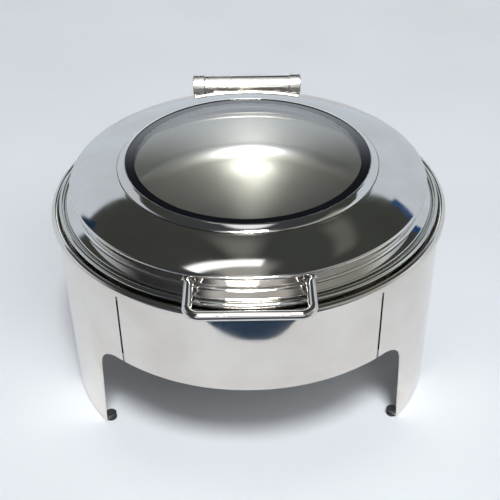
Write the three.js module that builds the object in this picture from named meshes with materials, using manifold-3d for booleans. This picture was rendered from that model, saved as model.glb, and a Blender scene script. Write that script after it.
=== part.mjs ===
// Round roll top chafer: an arched sheet stand, a water pan, a food pan and a hinged window lid.
// Millimetres, +Z up. The front faces -Y, the floor is z = 0 and the pans' axis is x = y = 0.
// Azimuths are in degrees from the front, positive towards +X.
import * as THREE from 'three';
import { mergeVertices } from 'three/addons/utils/BufferGeometryUtils.js';
import Module from 'manifold-3d';

const wasm = await Module();
wasm.setup();

const DEG = Math.PI / 180;
const SEGMENTS = 40; // facets round every large ring
const GAP = 0.3; // gap between pieces that touch
const SHEET = 1.0; // sheet of the pans and the lid

// Stand
const STAND_R = 225.6;
const STAND_SHEET = 1.2;
const STAND_TOP = 229.8;
const LEG_BOTTOM = 1.5;
const LEG_AZIMUTHS = { left: -61, right: 61, rear: 180 };
const LEG_HALF_AZIMUTH = 10.4; // half of a leg's width at the floor
const LEG_PANEL_HALF_AZIMUTH = 23; // from a leg's middle to its seams
const SEAM_WIDTH = 2.0;
const ARCH_TOP = 130.5;
const ARCH_CORNER_R = 34.5;
const LEG_TAPER = 6.7; // how much wider each side of a leg is at the arch corner than at the floor
const HOOP_TOP = 230.5;

// Pans
const RIM_R = 230;
const RIM_BOTTOM = 226.4;
const RIM_LIP_R = 4.4;
const RIM_LIP_Z = 231.6;
const RIM_TOP = RIM_LIP_Z + RIM_LIP_R;
const GROOVE_Z = 231.8;
const LEDGE_Z = 237.7;
const WATER_FLOOR_Z = 143;
const FOOD_FLANGE_Z = LEDGE_Z + GAP + SHEET;
const FOOD_FLOOR_Z = 186;

// Lid
const SEAT_Z = 276;
const SEAT_INNER_R = 134;
const CONE_TOP = { r: 150.6, z: 278.7 };
const CONE_EDGE = { r: 203.4, z: 262.2, roll: 3 };
const SKIRT_TILT = 21.5; // the skirt tucks in towards its lower end
const SKIRT_END_Z = 248.4;
const LID_BEAD_R = 1.6;
const LID_BEAD = { r: 210.5, z: FOOD_FLANGE_Z + GAP + LID_BEAD_R };
const GLASS_R = 141.3;
const GLASS_Z = 279.9;
const GLASS_THICKNESS = 4;

// Handle
const ROD_R = 5;
const HANDLE_HALF_SPAN = 61.5;
const HANDLE_ROOT_Z = 254.3;
const BAR = { y: -248, z: 252, bend: 12 };

// Hinge
const HINGE = { y: 232, z: 259 };
const HINGE_HALF_WIDTH = 73;
const CAP_R = 15.5;
const CAP_LENGTH = 15.5;
const TUBE_R = 14.3;
const TUBE_BORE_R = 11;
const PIN_R = 4;
const BRACKET_PLATE = { front: 222.5, back: 253, bottom: RIM_TOP + GAP, thickness: 3 };

const steel = { color: 0xd4d6d8, roughness: 0.08, metalness: 1 };
const satinSteel = { color: 0xc9c7bf, roughness: 0.3, metalness: 1 };
const rawSteel = { color: 0xa8aaad, roughness: 0.4, metalness: 1 };
const springSteel = { color: 0x55585c, roughness: 0.4, metalness: 1 };
const blackRubber = { color: 0x121212, roughness: 0.75, metalness: 0 };
const brownBush = { color: 0x8a7a5c, roughness: 0.5, metalness: 0 };
const darkPlastic = { color: 0x202326, roughness: 0.5, metalness: 0 };
const clearGlass = { color: 0xe6f0ee, roughness: 0.02, metalness: 0, transparent: true, opacity: 0.3 };

const chafer = new THREE.Group();

function addNode(name, geometry, finish) {
  const mesh = new THREE.Mesh(geometry, new THREE.MeshStandardMaterial(finish));
  mesh.name = name;
  chafer.add(mesh);
  return mesh;
}

// ---- solids -------------------------------------------------------------------------------------

function toSolid(geometry) {
  const bare = geometry.clone();
  bare.deleteAttribute('normal');
  bare.deleteAttribute('uv');
  const merged = mergeVertices(bare, 1e-3);
  const triangles = [];
  const index = merged.index.array;
  for (let i = 0; i < index.length; i += 3) {
    const [a, b, c] = [index[i], index[i + 1], index[i + 2]];
    if (a !== b && b !== c && c !== a) triangles.push(a, b, c);
  }
  return new wasm.Manifold(new wasm.Mesh({
    numProp: 3,
    vertProperties: new Float32Array(merged.attributes.position.array),
    triVerts: new Uint32Array(triangles),
  }));
}

function toGeometry(solid) {
  const { vertProperties, triVerts } = solid.getMesh();
  const geometry = new THREE.BufferGeometry();
  geometry.setAttribute('position', new THREE.BufferAttribute(vertProperties, 3));
  geometry.setIndex(new THREE.BufferAttribute(triVerts, 1));
  geometry.computeVertexNormals();
  return geometry;
}

function cutFrom(solid, tools) {
  return tools.reduce((rest, tool) => rest.subtract(toSolid(tool)), solid);
}

// A solid turned about +Z from [radius, height] points, listed with the material on their left.
function turned(points, segments = SEGMENTS) {
  const profile = points.map(([r, z]) => new THREE.Vector2(r, z));
  if (profile[0].x > 0) profile.push(profile[0].clone());
  return new THREE.LatheGeometry(profile, segments).rotateX(Math.PI / 2);
}

// Sheet metal turned about +Z: a line that runs outwards on the upper face, with its thickness below.
function turnedSheet(line, thickness) {
  const points = line.filter((p, i) => i === 0 || p.distanceTo(line[i - 1]) > 1e-6);
  const normals = points.slice(1).map((p, i) => {
    const along = p.clone().sub(points[i]).normalize();
    return new THREE.Vector2(along.y, -along.x);
  });
  const below = points.map((p, i) => {
    const before = normals[Math.max(i - 1, 0)];
    const after = normals[Math.min(i, normals.length - 1)];
    const middle = before.clone().add(after).normalize();
    return p.clone().addScaledVector(middle, thickness / middle.dot(before));
  });
  return turned([...below, ...points.reverse()].map((p) => [p.x, p.y]));
}

function box(x0, x1, y0, y1, z0, z1) {
  const geometry = new THREE.BoxGeometry(x1 - x0, y1 - y0, z1 - z0);
  return geometry.translate((x0 + x1) / 2, (y0 + y1) / 2, (z0 + z1) / 2);
}

// A prism that holds everything between two azimuths, for cutting a sector out of a ring.
function sector(from, to) {
  const reach = 400;
  const outline = new THREE.Shape([
    new THREE.Vector2(0, 0),
    new THREE.Vector2(reach * Math.sin(from * DEG), -reach * Math.cos(from * DEG)),
    new THREE.Vector2(reach * Math.sin(to * DEG), -reach * Math.cos(to * DEG)),
  ]);
  return new THREE.ExtrudeGeometry(outline, { depth: 320, bevelEnabled: false }).translate(0, 0, -10);
}

// Puts a piece drawn round its own origin, with -Y pointing outwards, on a ring of the object.
function onRing(azimuth, radius, z, tilt = 0) {
  return new THREE.Matrix4().makeRotationZ(azimuth * DEG)
    .multiply(new THREE.Matrix4().makeTranslation(0, -radius, z))
    .multiply(new THREE.Matrix4().makeRotationX(tilt * DEG));
}

// A screw along Y: its head stands on y = 0 and its shank hangs down from there.
function screw(headR, headHeight, shankR, shankLength) {
  const profile = [
    [0, -shankLength], [shankR, -shankLength], [shankR, 0],
    [headR, 0], [headR, 0.6 * headHeight], [0.6 * headR, headHeight], [0, headHeight],
  ];
  return new THREE.LatheGeometry(profile.map(([r, y]) => new THREE.Vector2(r, y)), 8);
}

// ---- stand --------------------------------------------------------------------------------------

// The opening between two legs, drawn on the unrolled sheet and cut straight through it.
function archCutter(middle, halfAzimuth) {
  const floorSide = STAND_R * halfAzimuth * DEG;
  const cornerSide = floorSide - LEG_TAPER;
  const cornerZ = ARCH_TOP - ARCH_CORNER_R;
  const side = [new THREE.Vector2(floorSide, 0), new THREE.Vector2(cornerSide, cornerZ)];
  const steps = 5;
  for (let i = 1; i <= steps; i += 1) {
    const angle = (i / steps) * 90 * DEG;
    side.push(new THREE.Vector2(
      cornerSide - ARCH_CORNER_R * (1 - Math.cos(angle)),
      cornerZ + ARCH_CORNER_R * Math.sin(angle),
    ));
  }
  const right = side.map((p) => new THREE.Vector2(STAND_R * Math.sin(p.x / STAND_R), p.y));
  const left = right.map((p) => new THREE.Vector2(-p.x, p.y)).reverse();
  const geometry = new THREE.ExtrudeGeometry(new THREE.Shape([...right, ...left]), {
    depth: 160,
    bevelEnabled: false,
  });
  return geometry.translate(0, 0, 100).rotateX(Math.PI / 2).rotateZ(middle * DEG);
}

function standSheet() {
  const inner = STAND_R - STAND_SHEET;
  const ring = toSolid(turned([
    [inner, LEG_BOTTOM], [STAND_R, LEG_BOTTOM], [STAND_R, STAND_TOP], [inner, STAND_TOP],
  ]));
  const legs = Object.values(LEG_AZIMUTHS);
  const arches = legs.map((leg, i) => {
    const next = legs[(i + 1) % legs.length];
    const span = (next - leg + 360) % 360;
    return archCutter(leg + span / 2, span / 2 - LEG_HALF_AZIMUTH);
  });
  return cutFrom(ring, arches);
}

function addStandPanels() {
  const sheet = standSheet();
  const seam = (SEAM_WIDTH / 2 / STAND_R) / DEG;
  const half = LEG_PANEL_HALF_AZIMUTH;
  const { left, right, rear } = LEG_AZIMUTHS;
  const panels = {
    stand_front_panel: [left + half, right - half],
    stand_right_panel: [right + half, rear - half],
    stand_left_panel: [rear + half, 360 + left - half],
  };
  for (const [name, [from, to]] of Object.entries(panels)) {
    const panel = sheet.intersect(toSolid(sector(from + seam, to - seam)));
    addNode(name, toGeometry(panel), steel);
  }
  for (const [side, leg] of Object.entries(LEG_AZIMUTHS)) {
    const panel = sheet.intersect(toSolid(sector(leg - half + seam, leg + half - seam)));
    addNode(`leg_panel_${side}`, toGeometry(addFootTabs(panel, leg)), steel);
  }
}

const FOOT_R = 217; // distance of the feet from the stand's axis
const FOOT_OFFSET = LEG_HALF_AZIMUTH - 0.9;
const TAB = { width: 13, bottom: 4.5, top: 5.7, inner: 209.5, outer: STAND_R - 0.7, holeR: 3.2 };

// Two small tabs turned in at the foot of a leg, each with a hole for a rubber foot.
function addFootTabs(panel, leg) {
  let result = panel;
  for (const offset of [-FOOT_OFFSET, FOOT_OFFSET]) {
    const place = onRing(leg + offset, 0, 0);
    const tab = box(-TAB.width / 2, TAB.width / 2, -TAB.outer, -TAB.inner, TAB.bottom, TAB.top);
    const hole = new THREE.CylinderGeometry(TAB.holeR, TAB.holeR, 10, 12).rotateX(Math.PI / 2);
    hole.translate(0, -FOOT_R, TAB.bottom);
    result = result.add(toSolid(tab.applyMatrix4(place)));
    result = result.subtract(toSolid(hole.applyMatrix4(place)));
  }
  return result;
}

function addFeet() {
  const foot = [
    [0, 0], [6.8, 0], [6.8, 4.2], [2.9, 4.2], [2.9, 6], [4.4, 6], [3.6, 8], [0, 8],
  ];
  for (const [side, leg] of Object.entries(LEG_AZIMUTHS)) {
    [-FOOT_OFFSET, FOOT_OFFSET].forEach((offset, i) => {
      const mesh = addNode(`rubber_foot_${side}_${i + 1}`, turned(foot, 12), blackRubber);
      mesh.applyMatrix4(onRing(leg + offset, FOOT_R, 0));
    });
  }
}

function addStandFrame() {
  const outer = STAND_R - STAND_SHEET - GAP;
  const inner = outer - 1.4;
  const legBottom = HOOP_TOP - 15.5;
  addNode('stand_top_hoop', turned([
    [inner, legBottom], [outer, legBottom], [outer, HOOP_TOP], [210, HOOP_TOP],
    [210, HOOP_TOP - 1.2], [inner, HOOP_TOP - 1.2],
  ]), rawSteel);
  const strapTop = legBottom - 2;
  const ring = toSolid(turned([[inner, 140], [outer, 140], [outer, strapTop], [inner, strapTop]]));
  for (const [side, leg] of Object.entries(LEG_AZIMUTHS)) {
    [-LEG_PANEL_HALF_AZIMUTH, LEG_PANEL_HALF_AZIMUTH].forEach((offset, i) => {
      const strap = ring.intersect(toSolid(sector(leg + offset - 3, leg + offset + 3)));
      addNode(`seam_strap_${side}_${i + 1}`, toGeometry(strap), rawSteel);
    });
  }
}

// ---- pans ---------------------------------------------------------------------------------------

const BRACKET_SCREW_AZIMUTHS = [180 - 8.5, 180 + 8.5];
const BRACKET_SCREW_Z = 229;

function bracketScrewHoles(radius) {
  return BRACKET_SCREW_AZIMUTHS.map((azimuth) => {
    const hole = new THREE.CylinderGeometry(2.3, 2.3, 14, 10);
    return hole.applyMatrix4(onRing(azimuth, radius, BRACKET_SCREW_Z));
  });
}

function addWaterPan() {
  const line = new THREE.Path();
  line.moveTo(0, WATER_FLOOR_Z);
  line.lineTo(178, WATER_FLOOR_Z);
  line.absarc(178, WATER_FLOOR_Z + 14, 14, -90 * DEG, -8 * DEG, false);
  line.lineTo(203, LEDGE_Z - 2.2);
  line.quadraticCurveTo(203.3, LEDGE_Z, 205.4, LEDGE_Z);
  line.lineTo(212, LEDGE_Z);
  line.lineTo(213.3, LEDGE_Z - 1.3);
  line.lineTo(214.4, GROOVE_Z + 1);
  line.lineTo(215.6, GROOVE_Z);
  line.lineTo(RIM_R - 2 * RIM_LIP_R - 0.2, GROOVE_Z);
  line.absarc(RIM_R - RIM_LIP_R, RIM_LIP_Z, RIM_LIP_R, 165 * DEG, 0, true);
  line.lineTo(RIM_R, RIM_BOTTOM);
  const pan = cutFrom(toSolid(turnedSheet(line.getPoints(2), SHEET)), bracketScrewHoles(RIM_R));
  addNode('water_pan', toGeometry(pan), steel);
}

function addFoodPan() {
  const bead = { r: 217.2, z: FOOD_FLANGE_Z - 0.5, radius: 3.5 };
  const line = new THREE.Path();
  line.moveTo(0, FOOD_FLOOR_Z);
  line.lineTo(152, FOOD_FLOOR_Z);
  line.absarc(152, FOOD_FLOOR_Z + 22, 22, -90 * DEG, -10 * DEG, false);
  line.lineTo(179.4, FOOD_FLANGE_Z - 2.4);
  line.quadraticCurveTo(179.9, FOOD_FLANGE_Z, 182.4, FOOD_FLANGE_Z);
  line.lineTo(bead.r - bead.radius, FOOD_FLANGE_Z);
  line.absarc(bead.r, bead.z, bead.radius, 150 * DEG, -90 * DEG, true);
  addNode('food_pan', turnedSheet(line.getPoints(2), SHEET), satinSteel);
}

// ---- lid ----------------------------------------------------------------------------------------

function skirtRadius(z) {
  const top = {
    r: CONE_EDGE.r + CONE_EDGE.roll * Math.cos(SKIRT_TILT * DEG),
    z: CONE_EDGE.z - CONE_EDGE.roll * Math.sin(SKIRT_TILT * DEG),
  };
  return top.r - (top.z - z) * Math.tan(SKIRT_TILT * DEG);
}

const HANDLE_SKIRT_R = skirtRadius(HANDLE_ROOT_Z);
const HANDLE_AZIMUTH = Math.asin(HANDLE_HALF_SPAN / HANDLE_SKIRT_R) / DEG;
const ARM_SCREW_AZIMUTHS = [180 - 8, 180 + 8];
const ARM_SCREW_Z = 254.3;
const BEZEL_SCREW_R = 145.8;
const BEZEL_SCREW_AZIMUTHS = [30, 90, 150, 210, 270, 330];

// Places on the skirt, square to its sheet: the two handle roots and the hinge arm's screws.
function onSkirt(azimuth, z) {
  return onRing(azimuth, skirtRadius(z), z, SKIRT_TILT);
}

function addLidShell() {
  const line = new THREE.Path();
  const roll = CONE_EDGE;
  line.moveTo(SEAT_INNER_R, SEAT_Z);
  line.lineTo(148.6, SEAT_Z);
  line.lineTo(CONE_TOP.r, CONE_TOP.z);
  const rollStart = { r: roll.r + roll.roll * Math.cos(69 * DEG), z: roll.z + roll.roll * Math.sin(69 * DEG) };
  line.quadraticCurveTo(178.3, 274.75, rollStart.r, rollStart.z);
  line.absarc(roll.r, roll.z, roll.roll, 69 * DEG, -SKIRT_TILT * DEG, true);
  line.lineTo(skirtRadius(SKIRT_END_Z), SKIRT_END_Z);
  line.quadraticCurveTo(200.1, 245.6, 203.9, 244.3);
  line.absarc(LID_BEAD.r, LID_BEAD.z, LID_BEAD_R, 74 * DEG, -90 * DEG, true);
  const skirtHoles = [
    ...[-HANDLE_AZIMUTH, HANDLE_AZIMUTH].map((azimuth) => onSkirt(azimuth, HANDLE_ROOT_Z)),
    ...ARM_SCREW_AZIMUTHS.map((azimuth) => onSkirt(azimuth, ARM_SCREW_Z)),
  ].map((place) => new THREE.CylinderGeometry(2.3, 2.3, 8, 10).applyMatrix4(place));
  const seatHoles = BEZEL_SCREW_AZIMUTHS.map((azimuth) => bezelScrewHole(azimuth));
  const shell = cutFrom(toSolid(turnedSheet(line.getPoints(2), SHEET)), [...skirtHoles, ...seatHoles]);
  addNode('lid_shell', toGeometry(shell), steel);
}

function bezelScrewHole(azimuth) {
  const hole = new THREE.CylinderGeometry(1.8, 1.8, 7, 8).rotateX(Math.PI / 2);
  return hole.applyMatrix4(onRing(azimuth, BEZEL_SCREW_R, SEAT_Z));
}

function addWindow() {
  const glassTop = GLASS_Z + GLASS_THICKNESS;
  const disc = [[0, GLASS_Z], [GLASS_R, GLASS_Z], [GLASS_R, glassTop], [0, glassTop]];
  addNode('window_glass', turned(disc), clearGlass);
  const seal = SEAT_Z + GAP;
  addNode('window_gasket', turned([
    [130.5, seal], [143.3, seal], [143.3, glassTop - GAP], [GLASS_R + GAP, glassTop - GAP],
    [GLASS_R + GAP, GLASS_Z - GAP], [130.5, GLASS_Z - GAP],
  ]), blackRubber);
  const lip = glassTop + GAP;
  const bezel = toSolid(turned([
    [143.7, seal], [148.2, seal], [150.1, 279.0], [150.1, 279.7], [147.8, 281.7],
    [142.2, lip + 0.7], [140.6, lip + 0.7], [140.6, lip], [143.7, lip],
  ]));
  const bezelHoles = BEZEL_SCREW_AZIMUTHS.map((azimuth) => bezelScrewHole(azimuth));
  addNode('window_bezel', toGeometry(cutFrom(bezel, bezelHoles)), steel);
  BEZEL_SCREW_AZIMUTHS.forEach((azimuth, i) => {
    const mesh = addNode(`bezel_screw_${i + 1}`, screw(2.8, 2, 1.4, 4), rawSteel);
    mesh.applyMatrix4(onRing(azimuth, BEZEL_SCREW_R, SEAT_Z - SHEET - GAP, -90));
  });
}

function addHandle() {
  const rootY = -Math.sqrt(HANDLE_SKIRT_R ** 2 - HANDLE_HALF_SPAN ** 2);
  const slope = (HANDLE_ROOT_Z - BAR.z) / (rootY - BAR.y);
  const point = (x, y) => new THREE.Vector3(x, y, BAR.z + slope * (y - BAR.y));
  const [x, y, bend] = [HANDLE_HALF_SPAN, BAR.y, BAR.bend];
  const route = new THREE.CurvePath();
  route.add(new THREE.LineCurve3(point(-x, rootY + 8), point(-x, y + bend)));
  route.add(new THREE.QuadraticBezierCurve3(point(-x, y + bend), point(-x, y), point(-x + bend, y)));
  route.add(new THREE.LineCurve3(point(-x + bend, y), point(x - bend, y)));
  route.add(new THREE.QuadraticBezierCurve3(point(x - bend, y), point(x, y), point(x, y + bend)));
  route.add(new THREE.LineCurve3(point(x, y + bend), point(x, rootY + 8)));
  const round = new THREE.Shape().absarc(0, 0, ROD_R, 0, 360 * DEG);
  const rod = new THREE.ExtrudeGeometry(round, { extrudePath: route, steps: 44, curveSegments: 5 });

  const washer = { r: 6.8, inside: 0.4, outside: 4.2 };
  const ends = [-HANDLE_AZIMUTH, HANDLE_AZIMUTH].map((azimuth) => {
    const trim = new THREE.CylinderGeometry(20, 20, 24, 12).translate(0, 12 - washer.outside - GAP, 0);
    return trim.applyMatrix4(onSkirt(azimuth, HANDLE_ROOT_Z));
  });
  addNode('lid_handle', toGeometry(cutFrom(toSolid(rod), ends)), steel);

  const profile = [
    [0, -washer.outside], [washer.r - 1.2, -washer.outside], [washer.r, -washer.outside + 1.2],
    [washer.r, -washer.inside], [2.3, -washer.inside], [2.3, -3.2], [0, -3.2],
  ].map(([r, h]) => new THREE.Vector2(r, h));
  const sides = { left: -HANDLE_AZIMUTH, right: HANDLE_AZIMUTH };
  for (const [side, azimuth] of Object.entries(sides)) {
    const place = onSkirt(azimuth, HANDLE_ROOT_Z);
    const collar = addNode(`handle_washer_${side}`, new THREE.LatheGeometry(profile, 18), steel);
    collar.applyMatrix4(place);
    const bolt = addNode(`handle_screw_${side}`, screw(4, 2.4, 2, SHEET + 3.2), rawSteel);
    bolt.geometry.translate(0, SHEET + 0.6, 0);
    bolt.applyMatrix4(place);
  }
}

// ---- hinge --------------------------------------------------------------------------------------

// A solid turned about the hinge axis from [radius, x] points, listed with the material on their left.
function onHingeAxis(points, segments = 24) {
  return turned(points, segments).rotateY(Math.PI / 2).translate(0, HINGE.y, HINGE.z);
}

function hingeRing(inner, outer, x0, x1, segments = 24) {
  return onHingeAxis([[inner, x0], [outer, x0], [outer, x1], [inner, x1]], segments);
}

// The moving half: a tube, a tongue forward from it and a pad that lies on the lid's rear skirt.
function addHingeArm() {
  const tubeHalf = HINGE_HALF_WIDTH - CAP_LENGTH - 0.5;
  const tube = toSolid(hingeRing(TUBE_BORE_R, TUBE_R, -tubeHalf, tubeHalf, 28));
  const pad = [250, 258.4].map((z) => [skirtRadius(z) + GAP + 0.1, z]);
  const padRing = toSolid(turned([
    pad[0], [pad[0][0] + 2.6, pad[0][1]], [pad[1][0] + 2.6, pad[1][1]], pad[1],
  ])).intersect(toSolid(sector(167, 193)));
  const lidCore = turned([
    [0, 240], [skirtRadius(240) + GAP + 0.1, 240], [skirtRadius(262) + GAP + 0.1, 262], [0, 262],
  ]);
  const tongue = cutFrom(toSolid(box(-45, 45, 196, HINGE.y - TUBE_BORE_R + 0.4, 250.6, 253.6)), [lidCore]);
  const screwHoles = ARM_SCREW_AZIMUTHS.map((azimuth) => (
    new THREE.CylinderGeometry(2.3, 2.3, 8, 10).applyMatrix4(onSkirt(azimuth, ARM_SCREW_Z))
  ));
  const arm = cutFrom(tube.add(tongue).add(padRing), screwHoles);
  addNode('hinge_arm', toGeometry(arm), steel);
  ARM_SCREW_AZIMUTHS.forEach((azimuth, i) => {
    const mesh = addNode(`arm_screw_${i + 1}`, screw(3.6, 2.2, 2, SHEET + 2.9), rawSteel);
    mesh.geometry.translate(0, SHEET + 0.6, 0);
    mesh.applyMatrix4(onSkirt(azimuth, ARM_SCREW_Z));
  });
}

const CAP_SCREW = { x: HINGE_HALF_WIDTH - CAP_LENGTH / 2, y: 238, clearanceR: 2.4 };

// The fixed half: a plate over the rim, an apron that follows the rim and a stiffening flange behind.
function addBracket() {
  const { front, back, bottom, thickness } = BRACKET_PLATE;
  const top = bottom + thickness;
  const half = HINGE_HALF_WIDTH;
  const plate = toSolid(box(-half, half, front, back, bottom, top));
  const flange = toSolid(box(-50, 50, back - 2.5, back, bottom, top + 9));
  const apronInner = RIM_R + 0.4;
  const apronOuter = apronInner + 2.6;
  const apron = toSolid(turned([
    [apronInner, 223], [apronOuter, 223], [apronOuter, top - 1], [apronInner, top - 1],
  ])).intersect(toSolid(sector(165, 195)));
  const capHoles = [-CAP_SCREW.x, CAP_SCREW.x].map((x) => {
    const hole = new THREE.CylinderGeometry(CAP_SCREW.clearanceR, CAP_SCREW.clearanceR, 12, 10);
    return hole.rotateX(Math.PI / 2).translate(x, CAP_SCREW.y, bottom);
  });
  const bracket = plate.add(flange).add(apron);
  addNode('hinge_bracket', toGeometry(cutFrom(bracket, [...capHoles, ...bracketScrewHoles(RIM_R)])), steel);

  const strip = toSolid(turned([[226.3, 226.8], [228.6, 226.8], [228.6, 231.2], [226.3, 231.2]]))
    .intersect(toSolid(sector(167, 193)));
  const stripHoles = BRACKET_SCREW_AZIMUTHS.map((azimuth) => (
    new THREE.CylinderGeometry(1.9, 1.9, 14, 10).applyMatrix4(onRing(azimuth, RIM_R, BRACKET_SCREW_Z))
  ));
  addNode('hinge_backing_strip', toGeometry(cutFrom(strip, stripHoles)), rawSteel);
  BRACKET_SCREW_AZIMUTHS.forEach((azimuth, i) => {
    const mesh = addNode(`bracket_screw_${i + 1}`, screw(4, 2.2, 1.6, 6.4), rawSteel);
    mesh.applyMatrix4(onRing(azimuth, apronOuter + GAP, BRACKET_SCREW_Z, 180));
  });
}

// An end cap holds one end of the pin and stands on the bracket plate on its own foot.
function addEndCaps() {
  const inside = HINGE_HALF_WIDTH - CAP_LENGTH;
  const plateTop = BRACKET_PLATE.bottom + BRACKET_PLATE.thickness;
  for (const [side, sign] of Object.entries({ left: -1, right: 1 })) {
    const barrel = onHingeAxis([
      [0, 0], [CAP_R, 0], [CAP_R, CAP_LENGTH - 1.2], [CAP_R - 1.2, CAP_LENGTH], [0, CAP_LENGTH],
    ], 32);
    const foot = box(0, CAP_LENGTH - 1, BRACKET_PLATE.front + 0.5, 243, plateTop + GAP, 250);
    const bore = onHingeAxis([
      [0, -1], [PIN_R + GAP, -1], [PIN_R + GAP, CAP_LENGTH - 2], [0, CAP_LENGTH - 2],
    ], 16);
    const screwHole = new THREE.CylinderGeometry(CAP_SCREW.clearanceR, CAP_SCREW.clearanceR, 24, 10);
    screwHole.rotateX(Math.PI / 2).translate(CAP_LENGTH / 2, CAP_SCREW.y, plateTop);
    const cap = cutFrom(toSolid(barrel).add(toSolid(foot)), [bore, screwHole]);
    const placed = sign > 0 ? cap : cap.mirror([1, 0, 0]);
    addNode(`hinge_end_cap_${side}`, toGeometry(placed), steel).position.x = sign * inside;
    const bolt = addNode(`cap_screw_${side}`, screw(4.2, 2.6, 2, 13), rawSteel);
    bolt.rotation.x = -Math.PI / 2;
    bolt.position.set(sign * CAP_SCREW.x, CAP_SCREW.y, BRACKET_PLATE.bottom - GAP);
  }
}

// What the tube hides: the pin, a bush at each end, a rotary damper and a counterbalance spring.
function addHingeInside() {
  const tubeHalf = HINGE_HALF_WIDTH - CAP_LENGTH - 0.5;
  const pinHalf = HINGE_HALF_WIDTH - 2.5;
  const rod = [[0, -pinHalf], [PIN_R, -pinHalf], [PIN_R, pinHalf], [0, pinHalf]];
  addNode('hinge_pin', onHingeAxis(rod, 16), rawSteel);
  const [inner, outer] = [PIN_R + GAP, TUBE_BORE_R - GAP];
  addNode('hinge_bush_left', hingeRing(inner, outer, -tubeHalf + 0.5, -tubeHalf + 8), brownBush);
  addNode('hinge_bush_right', hingeRing(inner, outer, tubeHalf - 8, tubeHalf - 0.5), brownBush);
  addNode('rotary_damper', hingeRing(inner, outer - 0.4, -tubeHalf + 9, -8), darkPlastic);

  const coil = { radius: 7.6, wireR: 1.1, turns: 8, from: -5, to: tubeHalf - 11 };
  class Helix extends THREE.Curve {
    getPoint(t, target = new THREE.Vector3()) {
      const angle = 2 * Math.PI * coil.turns * t;
      return target.set(
        coil.from + (coil.to - coil.from) * t,
        HINGE.y + coil.radius * Math.cos(angle),
        HINGE.z + coil.radius * Math.sin(angle),
      );
    }
  }
  const wire = new THREE.Shape().absarc(0, 0, coil.wireR, 0, 360 * DEG);
  addNode('torsion_spring', new THREE.ExtrudeGeometry(wire, {
    extrudePath: new Helix(),
    steps: 72,
    curveSegments: 2,
  }), springSteel);
}

addStandPanels();
addFeet();
addStandFrame();
addWaterPan();
addFoodPan();
addLidShell();
addWindow();
addHandle();
addHingeArm();
addBracket();
addEndCaps();
addHingeInside();

export default chafer;
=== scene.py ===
import math

import bmesh
import bpy
from bpy.props import FloatProperty, FloatVectorProperty, IntProperty, PointerProperty
from bpy.types import Operator, Panel, PropertyGroup
from mathutils import Matrix, Vector


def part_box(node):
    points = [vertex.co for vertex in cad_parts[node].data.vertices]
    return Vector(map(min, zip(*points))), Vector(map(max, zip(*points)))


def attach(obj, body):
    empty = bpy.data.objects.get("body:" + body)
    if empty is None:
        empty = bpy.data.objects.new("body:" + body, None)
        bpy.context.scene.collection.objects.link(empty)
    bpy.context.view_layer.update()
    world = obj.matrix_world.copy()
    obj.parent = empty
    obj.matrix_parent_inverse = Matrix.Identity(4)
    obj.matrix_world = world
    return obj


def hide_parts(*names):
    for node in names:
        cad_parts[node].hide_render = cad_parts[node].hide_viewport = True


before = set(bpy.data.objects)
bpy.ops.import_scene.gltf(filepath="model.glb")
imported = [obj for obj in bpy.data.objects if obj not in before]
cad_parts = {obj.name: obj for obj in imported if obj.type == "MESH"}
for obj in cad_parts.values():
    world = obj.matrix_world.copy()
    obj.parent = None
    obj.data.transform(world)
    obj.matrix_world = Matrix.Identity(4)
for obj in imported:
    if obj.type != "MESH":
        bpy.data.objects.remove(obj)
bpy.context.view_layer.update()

bl_info = {
    "name": "Round Roll Top Chafer",
    "version": (1, 0, 0),
    "blender": (4, 5, 0),
    "location": "View3D > Sidebar > Chafer",
    "description": "Makes the stand, pans, window lid, handle and hinge of a round chafer",
    "category": "Object",
}

MM = 0.001  # profiles are written in millimetres and meshes are in metres
FRONT = -90.0  # the front faces -Y; azimuths run from there towards +X
LEGS = {"left": -61.0, "right": 61.0, "rear": 180.0}
ON_AXIS = 1e-6  # a profile point nearer to the axis than this lies on it
SAME_POINT = 1e-5  # points of a line that are nearer than this are one
NO_LENGTH = 1e-9  # a side shorter than this has no direction


def top_of(node):
    """Height of the top of a CAD part."""
    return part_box(node)[1][2]


def width_of(node):
    """How far a CAD part reaches along +X."""
    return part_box(node)[1][0]


# ---- sizes, finishes and studio -------------------------------------------------------------------


def length(name, description, default):
    return FloatProperty(name=name, description=description, default=default, unit="LENGTH", min=0.0)


def angle(name, description, degrees):
    return FloatProperty(name=name, description=description, default=math.radians(degrees), subtype="ANGLE")


def colour(name, description, default):
    return FloatVectorProperty(
        name=name, description=description, default=default, subtype="COLOR", size=3, min=0.0, max=1.0
    )


def amount(name, description, default, top=1.0):
    return FloatProperty(name=name, description=description, default=default, min=0.0, max=top)


class StandSizes(PropertyGroup):
    radius: length("Radius", "Outer radius of the rolled sheet", 0.2256)
    sheet: length("Sheet", "Thickness of the rolled sheet", 0.0012)
    top: length("Top", "Height of the sheet's upper edge", top_of("stand_front_panel"))
    leg_bottom: length("Leg bottom", "Height of the legs' lower edge", 0.0015)
    arch_top: length("Arch top", "Height of the flat top of each arch", 0.1305)
    arch_corner: length("Arch corner", "Radius of an arch's upper corners", 0.0345)
    leg_taper: length("Leg taper", "Extra half width of a leg at the arch corner", 0.0067)
    leg_half: angle("Leg half width", "Half of a leg's width at the floor, round the stand", 10.4)
    panel_half: angle("Leg panel half width", "From a leg's middle to its seams, round the stand", 23.0)
    seam: length("Seam", "Width of the line between two panels", 0.0028)
    foot_circle: length("Foot circle", "Distance of the feet from the stand's axis", 0.217)
    foot_radius: length("Foot radius", "Radius of a rubber foot", 0.0068)


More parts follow.
